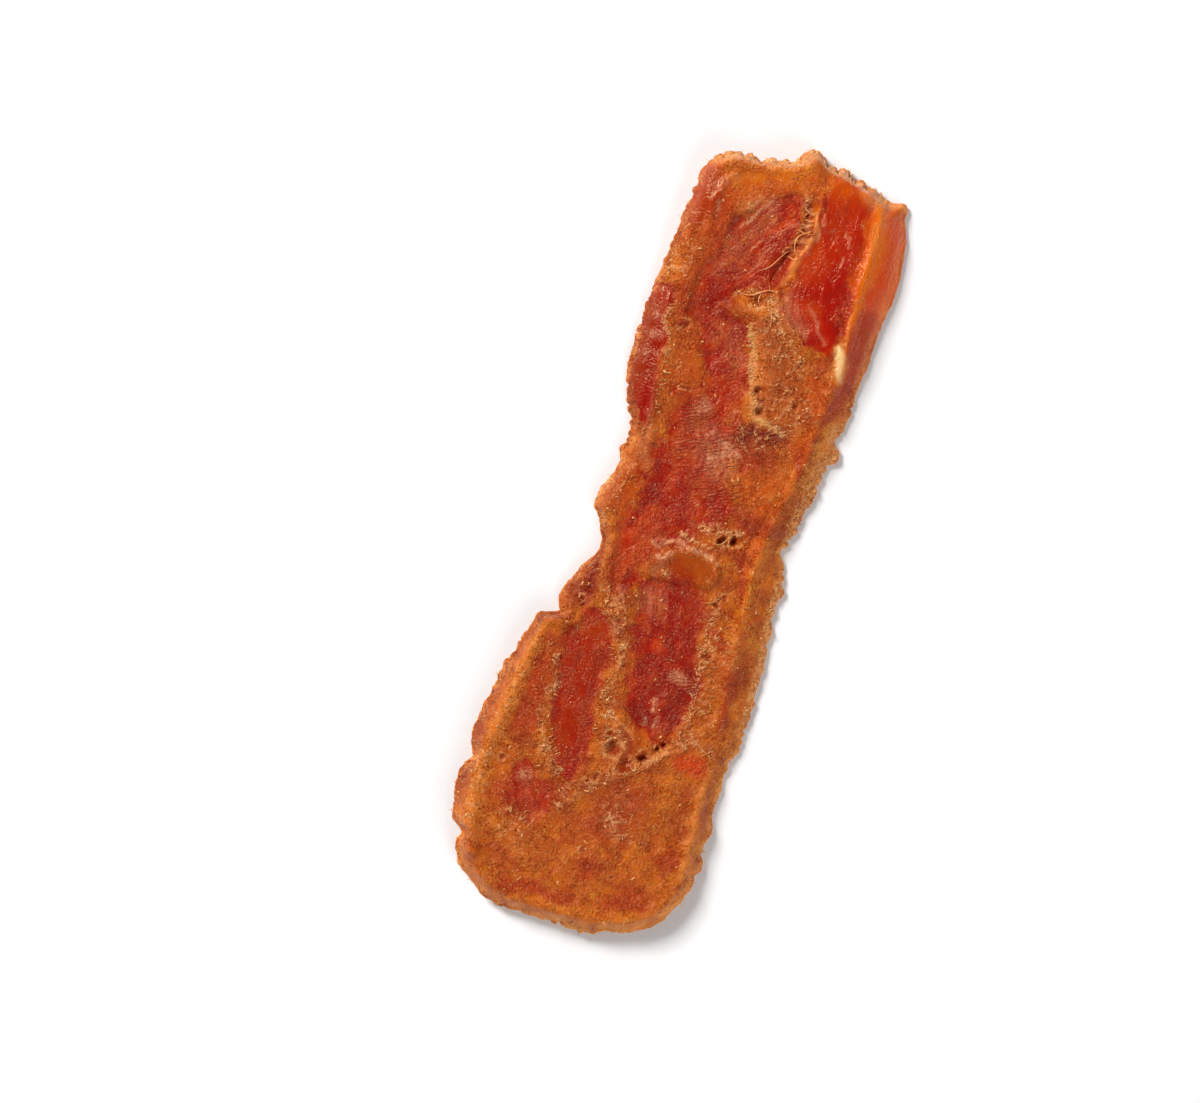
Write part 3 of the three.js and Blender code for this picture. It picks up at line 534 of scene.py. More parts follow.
# Milky films over the muscle, where fat dried on it, and painted highlights: thin glint lines on the wet
# muscle and the facet, and the pale arc along the blister's top
HAZE_AND_GLINTS = [
    (0.8, [(3.4, 19, 0.8), (5.8, 17.6, 0.9)]), (0.8, [(1.4, 16.2, 0.7), (4.6, 16.8, 0.8)]),
    (0.5, [(-2.5, 24.5, 1.2)]),
    (0.9, [(-4, -1.6, 0.3), (-1, -0.7, 0.4), (3, -0.7, 0.5), (6.5, -1.7, 0.5), (7.6, -3, 0.3)]),
    (0.7, [(-3.5, -4, 0.6), (-1, -3.2, 0.5)]), (0.3, [(7.5, 46, 1.4), (8.5, 44, 2), (11, 42.4, 1.2)]),
    (0.55, [(4.8, -23, 0.7), (6.6, -23.6, 0.8)]), (0.12, [(-1.5, 38.5, 2), (1, 34, 1.6)]),
    (0.25, [(-2, -11.5, 2)]), (0.5, [(-16.2, -47, 1.1)]),
    (0.05, [(-14.6, -50, 2), (-13.4, -52.5, 1.4)]), (0.9, [(-9.3, 64.8, 0.35), (-9.5, 63.4, 0.25)]),
    (0.9, [(-10, 62.8, 0.2), (-10.5, 61, 0.25)]), (0.5, [(-8.6, 60, 0.3), (-8.5, 57.6, 0.3)]),
    (0.7, [(14.2, 60.5, 0.12), (14.3, 58, 0.16)]), (0.7, [(14.6, 56.2, 0.1), (14.8, 54.5, 0.14)]),
    (0.6, [(8.8, 60.5, 0.15), (9.2, 57.5, 0.2)]), (0.5, [(9.8, 62.5, 0.15), (10, 60.6, 0.2)]),
    (0.4, [(8.2, 53, 0.15), (7.4, 49.5, 0.2)]),
    (0.3, [(12, 46.5, 0.3), (13.5, 43.4, 0.3), (15.4, 41.2, 0.25)]),
    (0.3, [(-4, 61.5, 1.6), (0, 61.5, 1.4)]), (0.08, [(1, 60, 1.4), (-3.5, 55, 2.4), (-6.3, 49, 1.8)]),
    (0.4, [(5, 59.6, 0.2), (2.2, 56.6, 0.3), (-0.8, 53.4, 0.2)]),
    (0.6, [(-0.6, 61.6, 0.25), (-2.6, 59, 0.35), (-3.8, 57, 0.25)]),
    (0.25, [(4, 56.4, 0.2), (0.8, 52.4, 0.3), (-2.4, 48.6, 0.2)]),
    (0.3, [(0.5, 20, 2), (2, 16.5, 2.2), (4.8, 14, 1.8)]), (0.4, [(-7.4, -17.5, 1.1)]),
    (0.8, [(3.6, -27.6, 0.25), (3.9, -30, 0.3)]), (0.7, [(2.6, -31.4, 0.25), (2.5, -33.4, 0.25)]),
    (0.6, [(4.3, -31.2, 0.25), (4.1, -34, 0.3)]),
]
# How soft the colour's border is where a muscle fades into the crust
SOFT_BORDERS = {"head left": 0.6, "upper": 0.6, "middle": 0.7, "foot": 0.6}
# Smooth glossy places: bare muscle with a tight skin, and the knife's cuts
SLEEK = [
    [(-14.8, 42.6, 1.7), (-14.4, 35, 2.2), (-14.2, 28, 2.2), (-12.9, 22.5, 1.5), (-12.2, 19, 0.6)],
    [(-12, 65.5, 2.1), (-11.4, 60, 2.7), (-12.2, 56.3, 1.4)], [(8.7, 64, 0.5), (8.9, 60, 0.7),
     (8.3, 56.5, 0.7), (6.7, 53.3, 0.7), (5.6, 49, 0.7), (5.7, 46.8, 0.5)],
    [(22, 67, 3), (22.6, 58, 3.8), (22.4, 46, 3.8), (21.6, 37, 2.4)],
    [(-3, -5, 2.4), (2, -3.8, 3), (6.2, -4.6, 2)], [(1.5, -36.5, 1), (1, -40, 1.4)],
    MUSCLES["head right"][1], [(-11, -19, 1), (-11, -26, 1.8), (-10.8, -34, 1.5), (-9.8, -41, 0.9)],
    [(18.4, 66, 1), (18.9, 58, 1.3), (19.2, 50, 1.3), (19.2, 43, 1)],
]
# More places where the muscle is bare
BARE_SPOTS = [
    [(4.6, 58, 0.9), (4.5, 54, 1.5), (3.3, 50, 2.2), (2.8, 47.8, 1)],
    [(-12.6, -48.6, 2.2), (-15.4, -51.6, 2)],
]
# The cut wall at the right side of the head
CUT_WALL = [(26, 70, 7), (26, 34, 7)]
# Crust that dried as a smooth skin
SMOOTH_CRUST = [
    [(-9, 66.5, 3), (-3, 66.5, 3.4), (3, 67.5, 3)], [(-9.4, 60, 2), (-9.4, 52, 1.8), (-9, 44, 1.8)],
    [(21.5, 33, 2.4), (20.5, 24, 1.6)], [(-12.5, 12, 2), (-13.5, 4, 2)],
]
# Stretches of the outline that dried to pale crumbs
CRUMBLY_EDGES = [
    [(-12, 69, 2.4), (-4, 70.5, 2.4), (2, 71.5, 2.6), (6, 73.5, 3), (10, 72, 1.8), (16, 71, 1.6),
     (20, 70, 1.4), (23.8, 69.4, 1.2)],
    [(22.5, 26, 1.6), (22.3, 22, 2.6), (20.5, 17, 2.2), (19.8, 11, 1.6), (19.5, 4, 1.2)],
    [(-15.2, 66, 1), (-15.6, 58, 1)], [(-15.8, 8, 1.2), (-17, 4, 1)],
    [(19.8, -3, 1.4), (20.3, -14, 1.4), (20, -28, 1)],
]
# Crust that is strewn with pale specks
SPECKLED = [
    [(11.5, -14, 1.6), (12, -24, 2.5), (12, -32, 2.5)], [(-13.4, 53, 1.8), (-13.2, 47, 1.8)],
    [(-4.4, 60.8, 1.8)], [(-21, -26, 0.9), (-22.2, -33, 1.1), (-24, -48, 1.3), (-23.8, -58, 1.2)],
    [(-9, 68.5, 1.2), (0, 69.5, 1.2)], [(1, -50, 2.5), (4, -53, 2.5)], [(-19, -56, 2), (-12, -57, 2)],
]
# Where the muscle shrank into fine wrinkles
WRINKLED = [
    [(-3, 23, 3), (0, 17, 5), (4, 14, 4), (4, 9, 3)], [(5, -23, 1.6), (7, -23.6, 1.6)],
    PATCHES["rough patch"][1],
]


def tinted(colour, tint, share):
    """Colours moved towards a tint by a share of the way, which may differ from place to place."""
    return colour + (np.array(tint) - colour) * np.asarray(share)[..., None]


def coated(colour, x, y, coats):
    """Colours after one coat over another: each moves them towards its own by strength times mask."""
    for coat, strength, soft, spines in coats:
        colour = tinted(colour, coat, strength * painted(x, y, spines, soft))
    return colour


def bare_muscle(x, y, wx, wy):
    """How far the muscle shows, from 0 to 1: its strokes, whose borders are roughened by noise."""
    muscle = painted(wx, wy, [SLEEK[0], *BARE_SPOTS], 0.4)
    for name, (_, spine) in MUSCLES.items():
        muscle = np.maximum(muscle, stroke(wx, wy, spine, SOFT_BORDERS.get(name, 0.4)))
    rough_border = 0.6 * noise(x, y, 2.6, 27) + 0.4 * noise(x, y, 0.8, 28)
    return smooth_step(0.1, 0.9, muscle + rough_border * (1 - np.abs(2 * muscle - 1)))


def crust_colour(x, y, wx, wy, blotches):
    """Brown crust with golden blotches, pinker and yellower in patches, under its coats."""
    crust = np.array(BROWN) * 0.45 + np.array(TAN) * 0.55
    crust = tinted(crust, np.array(TAN) * 0.5 + np.array(GOLD) * 0.5, blotches)
    pinker = smooth_step(0.1, 0.8, noise(x, y, 3.4, 57) + 0.5 * noise(x, y, 1.3, 58))
    yellower = smooth_step(0.15, 0.8, noise(x, y, 2.9, 59) + 0.5 * noise(x, y, 1.1, 60))
    crust = tinted(tinted(crust, PINK_TAN, 0.6 * pinker), STRAW, 0.5 * yellower)
    return coated(crust, wx, wy, COATS)


def meat_colour(x, y, wx, wy, blotches, calm):
    """Red muscle with rose blotches under its coats, and glowing and gloomy streaks off its sleek parts."""
    meat = tinted(np.array(RED) * 0.85 + np.array(CRIMSON) * 0.15, ROSE, 0.5 * blotches)
    meat = coated(meat, wx, wy, MUSCLE_COATS)
    glow = smooth_step(0.1, 0.9, noise(x, y, 2.2, 32) + 0.5 * noise(x, y, 0.9, 33))
    gloom = smooth_step(0.1, 0.9, noise(x / 1.9, y / 3.2, 1, 34) + 0.5 * noise(x / 0.7, y / 1.1, 1, 35))
    meat = tinted(meat, EMBER, 0.5 * glow * (1 - 0.7 * calm))
    return tinted(meat, CRIMSON, 0.45 * gloom * (1 - 0.8 * calm))


def fibre_runs(x, y, wx, wy):
    """Millimetres along and across the muscle's fibres, which follow the spine of the muscle there."""
    along, across, strongest = y.copy(), x.copy(), np.zeros(x.shape)
    for _, spine in MUSCLES.values():
        off, run, side = beside(0.7 * x + 0.3 * wx, 0.7 * y + 0.3 * wy, [(a, b) for a, b, _ in spine])
        near = stroke(wx, wy, spine, 0.5)
        length = np.r_[0, np.cumsum([math.dist(p[:2], q[:2]) for p, q in zip(spine[:-1], spine[1:])])]
        here = near > strongest
        along = np.where(here, np.interp(run, np.arange(len(spine)), length), along)
        across = np.where(here, off * side, across)
        strongest = np.maximum(strongest, near)
    return along, across


def skin(x, y, distance):
    """The finish of the upper face: its colour in screen values, how strongly bare muscle, crumbs,
    wrinkles, gloss and hollows show, from 0 to 1, and the run along and across the muscle's fibres."""
    wx, wy = wandering(x, y)
    calm = painted(wx, wy, SLEEK, 0.4)
    veil = smooth_step(0.15, 0.9, noise(x / 1.5, y / 2.2, 1, 36) + 0.6 * noise(x / 0.6, y / 0.8, 1, 37))
    look = {"muscle": bare_muscle(x, y, wx, wy) * (1 - 0.38 * veil * (1 - calm))}

    blotches = noise(x, y, 2.8, 25) + 0.6 * noise(x, y, 1.2, 26) + 0.4 * noise(x, y, 0.6, 30)
    blotches = smooth_step(-0.7, 0.8, blotches)
    crust, meat = crust_colour(x, y, wx, wy, blotches), meat_colour(x, y, wx, wy, blotches, calm)
    colour = tinted(crust, meat, look["muscle"])
    colour = coated(colour, (x + wx) / 2, (y + wy) / 2, LAST_COATS.values())

    # The pale rim along the outline is partly the crust's own paler edge and partly painted light: it is
    # painted weaker on the left, which the main lamp lights, and stronger on the shaded side
    smooth_side = painted(x, y, [*SLEEK[:2], CUT_WALL, PATCHES["flap"][1]], 0.5)
    reach = np.maximum(0.3, 1.0 + 0.7 * noise(x, y, 3, 38) + 0.4 * noise(x, y, 0.9, 35))
    lit_side = (1 - smooth_step(-12, -4, x)) * (1 - smooth_step(60, 68, y))
    rim = 0.75 * bell(distance, reach) * (1 - 0.85 * smooth_side) * (1 - 0.9 * lit_side)
    crumbly = painted(x, y, CRUMBLY_EDGES, 0.5) * bell(distance, 1.5)
    off = np.stack([np.hypot(wx - a, wy - b) / r for a, b, r, _ in PITS])
    brink = bell(off - 1.35, 0.25).max(axis=0) * smooth_step(-0.7, 0.1, noise(x, y, 0.8, 56))
    for tint, share in ((PALE_RIM_AND_LIGHT, rim), (PALE, 0.7 * crumbly), (PALE, 0.85 * brink)):
        colour = tinted(colour, tint, share)
    look["colour"] = colour

    patchy = 0.25 + 0.7 * smooth_step(-0.4, 0.5, noise(x, y, 1.5, 39))
    island = painted(wx, wy, [PATCHES["upper island"][1], *SPECKLED], 0.6)
    rough_patch = painted(wx, wy, [PATCHES["rough patch"][1]], 0.9)
    look["crumb"] = np.maximum.reduce([
        painted(wx, wy, CRUMB_LINES, 0.9) * patchy,
        0.5 * island * smooth_step(0.1, 0.6, noise(x, y, 0.55, 45)),
        0.85 * rough_patch * smooth_step(0.1, 0.5, noise(x, y, 0.6, 40)),
        crumbly * (0.4 + 0.4 * smooth_step(-0.5, 0.3, noise(x, y, 0.9, 55))),
        0.5 * brink])
    look["lace"] = smooth_step(0.04, 0.34, 1 - grains(wx, wy, 0.75, 46))
    look["fringe"] = bell(distance, 0.8) * smooth_step(-0.4, 0.6, noise(x, y, 1.3, 31))
    look["haze_and_glints"] = np.maximum.reduce([strength * stroke(wx, wy, spine, 0.9) for strength, spine in HAZE_AND_GLINTS])
    look["wrinkle"] = painted(wx, wy, WRINKLED, 0.7)
    smooth_crust = painted(wx, wy, SMOOTH_CRUST, 0.9)
    look["sleek"] = np.maximum.reduce([calm, 0.5 * look["muscle"], 0.45 * smooth_crust])
    tear = bell(beside(x, y, FOLDS["head tear"][2])[0], 0.75)
    look["hollow"] = np.maximum(bell(off, 1).max(axis=0), 0.7 * tear)
    look["fibre_along"], look["fibre_across"] = fibre_runs(x, y, wx, wy)
    return look


def texture(x, y, look):
    """Small relief in millimetres: packed grains on the crust, more of them along the crumbs, long ripples
    along the muscle's fibres, and fine wrinkles across it where it shrank."""
    crust = (1 - look["sleek"]) * (1 - 0.6 * look["muscle"])
    coarse = grains(x, y, 1.5, 41) + 0.7 * noise(x, y, 2.1, 43)
    fine = grains(x, y, 0.7, 44)
    grit = (0.06 + crust) * (0.26 * (coarse - 0.6) + 0.16 * (fine - 0.6))
    crumbs = look["crumb"] * (0.34 * (look["lace"] - 0.4) + 0.2 * (fine - 0.6)) - 0.28 * look["muscle"]
    dents = look["muscle"] * 0.16 * noise(x, y, 1.7, 47)
    fibres = look["muscle"] * 0.08 * noise(look["fibre_along"] / 6, look["fibre_across"] / 0.8, 1, 48)
    turn = 0.35 * noise(x, y, 5, 49)
    ridges = 1 - np.abs(noise((x + y * turn) / 3.2, (y - x * turn) / 1.1, 1, 50))
    wrinkles = look["wrinkle"] * 0.3 * (ridges**3 - 0.3)
    return grit + crumbs + dents + fibres + wrinkles


def upper_face(x, y, distance, look):
    """Height of the upper face: it climbs from the thin lip to the slab's thickness along a falling
    parabola, over a narrow reach or a wide bevel, and carries the folds, the muscles, the small relief and
    the pits."""
    middle = 3 - 6 * smooth_step(-5, -35, y)
    head_bevel = smooth_step(0, 6, x - middle) * smooth_step(21, 27, y) * (1 - smooth_step(66, 72, y))
    left_bevel = smooth_step(0, 6, middle - x) * smooth_step(8, 14, y) * (1 - smooth_step(46, 52, y))
    right_bevel = smooth_step(0, 6, x - middle) * smooth_step(-48, -42, y) * (1 - smooth_step(24, 30, y))
    reach = 2.6 + 3.6 * head_bevel + 2 * left_bevel + 2.6 * right_bevel
    climb = 1 - (1 - np.minimum(1, distance / reach)) ** 2
    slab = SLAB + HEAD_EXTRA * smooth_step(8, 50, y) * smooth_step(-6, 12, x)
    low = bed(x, y)
    inside = smooth_step(0, 1.8, distance)
    height = low + EDGE_LIP + (slab - EDGE_LIP) * climb + relief(x, y) * inside
    height = height + texture(x, y, look) * (0.35 + 0.65 * inside)
    for at_x, at_y, radius, depth in PITS:
        off = np.hypot(x - at_x, y - at_y) + 0.25 * noise(x, y, 0.7, 51)
        height = height - 0.5 * depth * (1 - smooth_step(0.55 * radius, 1.15 * radius, off))
    return np.maximum(height, low + THINNEST)


RACK_PITCH = 3.8
RACK_WIRE = 0.42
RACK_TURN = math.radians(7)


def rack_marks(x, y):
    """Depth of the rack's wires in the underside, 1 on a wire: bell curves of the distance to the nearest
    line of a square net, which wavers a little."""
    wx, wy = x + 0.25 * noise(x, y, 6, 61), y + 0.25 * noise(x, y, 6, 62)
    u = (wx * math.cos(RACK_TURN) + wy * math.sin(RACK_TURN)) / RACK_PITCH
    v = (wy * math.cos(RACK_TURN) - wx * math.sin(RACK_TURN)) / RACK_PITCH
    off = np.minimum(np.abs(u - np.round(u)), np.abs(v - np.round(v))) * RACK_PITCH
    return bell(off, RACK_WIRE)


def underside(x, y, distance):
    """Height of the underside: flat on the table, curled up at the ends, raised a little towards the
    outline, and pressed in by the rack's wires."""
    pressed = 0.3 * rack_marks(x, y) * smooth_step(0.5, 2.5, distance)
    return bed(x, y) + UNDERCUT * (1 - smooth_step(0, 2.2, distance)) + pressed


def grid_faces(across, along, start, upward):
    """The grid's squares as four vertex numbers each, turning anticlockwise seen from above, or else
    clockwise."""
    number = start + np.arange((across + 1) * (along + 1)).reshape(along + 1, across + 1)
    corners = [number[:-1, :-1], number[:-1, 1:], number[1:, 1:], number[1:, :-1]]
    squares = np.stack(corners, axis=-1).reshape(-1, 4)
    return squares if upward else squares[:, ::-1]


def light_of(colour):
    """Screen values of 0 to 255 turned into light, less what the lamps' sheen adds, with a full alpha."""
    light = ((np.asarray(colour) / 255 + 0.055) / 1.055) ** 2.4
    light = np.maximum(light - SHEEN, 0.2 * light)
    return np.concatenate([light, np.ones((*light.shape[:-1], 1))], axis=-1)


def new_piece(name, places, faces, looks=None):
    """A mesh object from places in millimetres and lists of vertex numbers, with a number or a colour on
    each vertex for every named look. It lies in the CAD's frame, so it is moved by the strip's own
    middle."""
    mesh = bpy.data.meshes.new(name)
    mesh.from_pydata(((np.asarray(places) - STRIP_MIDDLE) * MM).tolist(), [], faces)
    for look, values in (looks or {}).items():
        if values.ndim == 1:
            mesh.attributes.new(look, "FLOAT", "POINT").data.foreach_set("value", values.astype(np.float32))
        else:
            light = light_of(values).astype(np.float32)
            mesh.attributes.new(look, "FLOAT_COLOR", "POINT").data.foreach_set("color", light.ravel())
    mesh.polygons.foreach_set("use_smooth", np.ones(len(mesh.polygons), bool))
    piece = bpy.data.objects.new(name, mesh)
    bpy.context.scene.collection.objects.link(piece)
    return piece


LOW_ACROSS, LOW_ALONG = ACROSS * 2 // 3, ALONG * 2 // 3


def listed(*grids):
    """The grids' numbers side by side, with one row for each place."""
    return np.stack([grid.ravel() for grid in grids], axis=1)


top_x, top_y, top_distance = torn(*flat_grid(ACROSS, ALONG))
top_look = skin(top_x, top_y, top_distance)
top_places = listed(top_x, top_y, upper_face(top_x, top_y, top_distance, top_look))
low_x, low_y, low_distance = torn(*flat_grid(LOW_ACROSS, LOW_ALONG))
low_places = listed(low_x, low_y, underside(low_x, low_y, low_distance))
ring, low_ring = border(ACROSS, ALONG), border(LOW_ACROSS, LOW_ALONG)
edge = top_places[ring]
edge_step = np.roll(edge, -1, axis=0) - np.roll(edge, 1, axis=0)
edge_out = np.stack([edge_step[:, 1], -edge_step[:, 0], 0 * edge_step[:, 0]], axis=1)
edge_out /= np.linalg.norm(edge_out, axis=1, keepdims=True)
foot_z = underside(edge[:, 0], edge[:, 1], 0 * edge[:, 0])
wall_rows = []
for share in (0.25, 0.5, 0.75):
    swell = 0.35 * math.sin(math.pi * share) + 0.16 * noise(edge[:, 0], edge[:, 1] + 6.3 * share, 0.9, 52)
    row = edge + edge_out * swell[:, None]
    row[:, 2] = edge[:, 2] * (1 - share) + foot_z * share
    wall_rows.append(row)

places = np.vstack([top_places, *wall_rows, low_places])
STRIP_MIDDLE = np.array([*((places.min(axis=0) + places.max(axis=0)) / 2)[:2], 0.0])

rings = [ring, *(len(top_places) + len(ring) * k + np.arange(len(ring)) for k in range(len(wall_rows)))]
faces = grid_faces(ACROSS, ALONG, 0, True).tolist()
for upper, lower in zip(rings[:-1], rings[1:]):
    faces += np.stack([upper, lower, np.roll(lower, -1), np.roll(upper, -1)], axis=1).tolist()
# The last wall row has three steps for every two of the underside: each reaches to the nearest place
last, low_start = rings[-1], len(places) - len(low_places)
partner = np.floor((np.arange(len(last)) + 0.5) * len(low_ring) / len(last) + 0.5).astype(int)
turning = np.searchsorted(partner, np.arange(len(low_ring)) + 1)
low_numbers = low_start + low_ring
faces += np.stack([last, low_numbers[partner % len(low_ring)], np.roll(last, -1)], axis=1).tolist()
faces += np.stack([last[turning % len(last)], low_numbers, np.roll(low_numbers, -1)], axis=1).tolist()
faces += grid_faces(LOW_ACROSS, LOW_ALONG, low_start, False).tolist()

# The underside has no folds or crumbs: crust with large blotches of red muscle, and pale marks of the rack
low_look = {name: np.zeros(low_x.shape) for name in top_look}
low_red = smooth_step(2, 8, low_distance + 2.5 * noise(low_x, low_y, 7, 63))
low_look["muscle"] = low_red * smooth_step(-0.9, -0.1, noise(low_x, low_y, 11, 64))
warmth = smooth_step(-0.6, 0.7, noise(low_x, low_y, 5, 65))
low_meat = tinted(np.array(CRIMSON), FLAME, warmth)
low_crust = tinted(np.array(TAN), GOLD, 1 - low_red * (1 - 0.4 * warmth))
wires = rack_marks(low_x, low_y) * (0.4 + 0.6 * smooth_step(-0.5, 0.5, noise(low_x, low_y, 2.2, 67)))
low_look["colour"] = tinted(tinted(low_crust, low_meat, low_look["muscle"]), PALE, 0.7 * wires)
low_look["sleek"] = 0.4 * low_look["muscle"] * (1 - wires)
low_look["fibre_along"], low_look["fibre_across"] = low_y, low_x
looks = {}
for name, values in top_look.items():
    values = values.reshape(top_x.size, *values.shape[2:])
    low_values = low_look[name].reshape(low_x.size, *values.shape[1:])
    wall = values[ring]
    # The walls are painted paler: partly the crust's pale rim, partly painted light on walls that face away
    # from the lamps
    if name == "colour":
        wall = tinted(wall, PALE_RIM_AND_LIGHT, 0.5 * (1 - top_look["sleek"].ravel()[ring]))
    looks[name] = np.concatenate([values, *[wall] * len(wall_rows), low_values])
strip = new_piece("strip", places, faces, looks)


def put(tree, kind, inputs=None, **settings):
    """Adds a node with the given settings. Each input is a plain value or another node's output."""
    node = tree.nodes.new(kind)
    for name, value in settings.items():
        setattr(node, name, value)
    for name, value in (inputs or {}).items():
        if isinstance(value, bpy.types.NodeSocket):
            tree.links.new(value, node.inputs[name])
        else:
            node.inputs[name].default_value = value
    return node


def reckoned(tree, action, first, second=0.0):
    """One arithmetic step on a number, or on two."""
    return put(tree, "ShaderNodeMath", {0: first, 1: second}, operation=action).outputs[0]


def plus(tree, first, second):
    """The sum of two numbers."""
    return reckoned(tree, "ADD", first, second)


def minus(tree, first, second):
    """The first number less the second."""
    return reckoned(tree, "SUBTRACT", first, second)


def times(tree, first, second):
    """The product of two numbers."""
    return reckoned(tree, "MULTIPLY", first, second)


def eased(tree, value, low, high, start=0.0, end=1.0):
    """A smooth step of a value from start, at low, to end, at high."""
    inputs = {"Value": value, "From Min": low, "From Max": high, "To Min": start, "To Max": end}
    return put(tree, "ShaderNodeMapRange", inputs, interpolation_type="SMOOTHSTEP").outputs[0]


def mixed(tree, share, first, second):
    """A colour between two others."""
    return put(tree, "ShaderNodeMix", {0: share, 6: first, 7: second}, data_type="RGBA").outputs[2]


def look_of(tree, name):
    """The number that the mesh carries on its vertices under that name."""
    return put(tree, "ShaderNodeAttribute", attribute_name=name).outputs["Fac"]


def speckle(tree, place, size, detail=2.0, roughness=0.6):
    """Cloudy noise from 0 to 1 whose patches are about that many millimetres across."""
    inputs = {"Vector": place, "Scale": 1 / (size * MM), "Detail": detail, "Roughness": roughness}
    return put(tree, "ShaderNodeTexNoise", inputs).outputs["Fac"]


def sparse_dots(tree, place, size, channel, rare, wide):
    """A mask of round dots, at most one to each cell of that many millimetres: a smooth step over rare of
    the cell's random number says whether it has one, and one over wide of the distance to its middle rounds
    it."""
    cell = put(tree, "ShaderNodeTexVoronoi", {"Vector": place, "Scale": 1 / (size * MM)}).outputs
    some = eased(tree, put(tree, "ShaderNodeSeparateColor", {0: cell["Color"]}).outputs[channel], *rare)
    return times(tree, some, eased(tree, cell["Distance"], *wide))


def grain_group():
    """Dried grain, for every dry surface of the strip: clouds of three sizes and packed round grains. It
    gives a tone for colours, from 0 to 1, a height for bumps, masks of small bright flecks, which the meat
    paints as pale specks and painted glints, and of dark pores, and a net of thin threads."""
    group = bpy.data.node_groups.new("dried grain", "ShaderNodeTree")
    size = group.interface.new_socket("Grain Size", in_out="INPUT", socket_type="NodeSocketFloat")
    size.default_value = 0.45
    for name in ("Tone", "Height", "Glint Flecks", "Threads", "Pores"):
        group.interface.new_socket(name, in_out="OUTPUT", socket_type="NodeSocketFloat")
    ask = group.nodes.new("NodeGroupInput").outputs
    give = group.nodes.new("NodeGroupOutput").inputs
    place = put(group, "ShaderNodeTexCoord").outputs["Object"]
    scale = reckoned(group, "DIVIDE", 1 / MM, ask["Grain Size"])
    cells = put(group, "ShaderNodeTexVoronoi", {"Vector": place, "Scale": scale, "Smoothness": 0.6},
                feature="SMOOTH_F1").outputs["Distance"]
    small = speckle(group, place, 0.42, 2.5, 0.6)
    middle = speckle(group, place, 1.3, 3.0, 0.65)
    large = speckle(group, place, 5.0, 2.0)
    unrest = eased(group, speckle(group, place, 2.4, 2.0), 0.4, 0.6, 0.3, 1.15)
    tone = plus(group, times(group, small, 0.4), times(group, middle, 0.4))
    tone = minus(group, plus(group, tone, times(group, large, 0.2)), times(group, cells, 0.2))
    tone = times(group, minus(group, eased(group, tone, 0.28, 0.54), 0.5), unrest)
    group.links.new(plus(group, tone, 0.5), give["Tone"])
    curls = minus(group, speckle(group, place, 0.7, 2.5, 0.6), 0.5)
    group.links.new(eased(group, reckoned(group, "ABSOLUTE", curls), 0.045, 0.0), give["Threads"])
    pores = sparse_dots(group, place, 0.95, 1, (0.55, 0.65), (0.26, 0.1))
    group.links.new(pores, give["Pores"])
    group.links.new(sparse_dots(group, place, 1.0, 0, (0.6, 0.72), (0.18, 0.05)), give["Glint Flecks"])
    height = times(group, minus(group, times(group, small, 0.8), times(group, cells, 0.7)), unrest)
    group.links.new(minus(group, height, times(group, pores, 0.4)), give["Height"])
    return group


DRIED_GRAIN = grain_group()
# What the dark and the bright places of the grain, and of the muscle's streaks, multiply the colour by
GRAIN_SHADE, GRAIN_LIGHT = (0.84, 0.62, 0.44, 1), (1.08, 1.36, 1.58, 1)
FIBRE_SHADE, FIBRE_LIGHT = (0.88, 0.56, 0.46, 1), (1.08, 1.46, 1.62, 1)
WRINKLE_TURN = math.radians(-22)
BUMP_DEPTH = 0.62


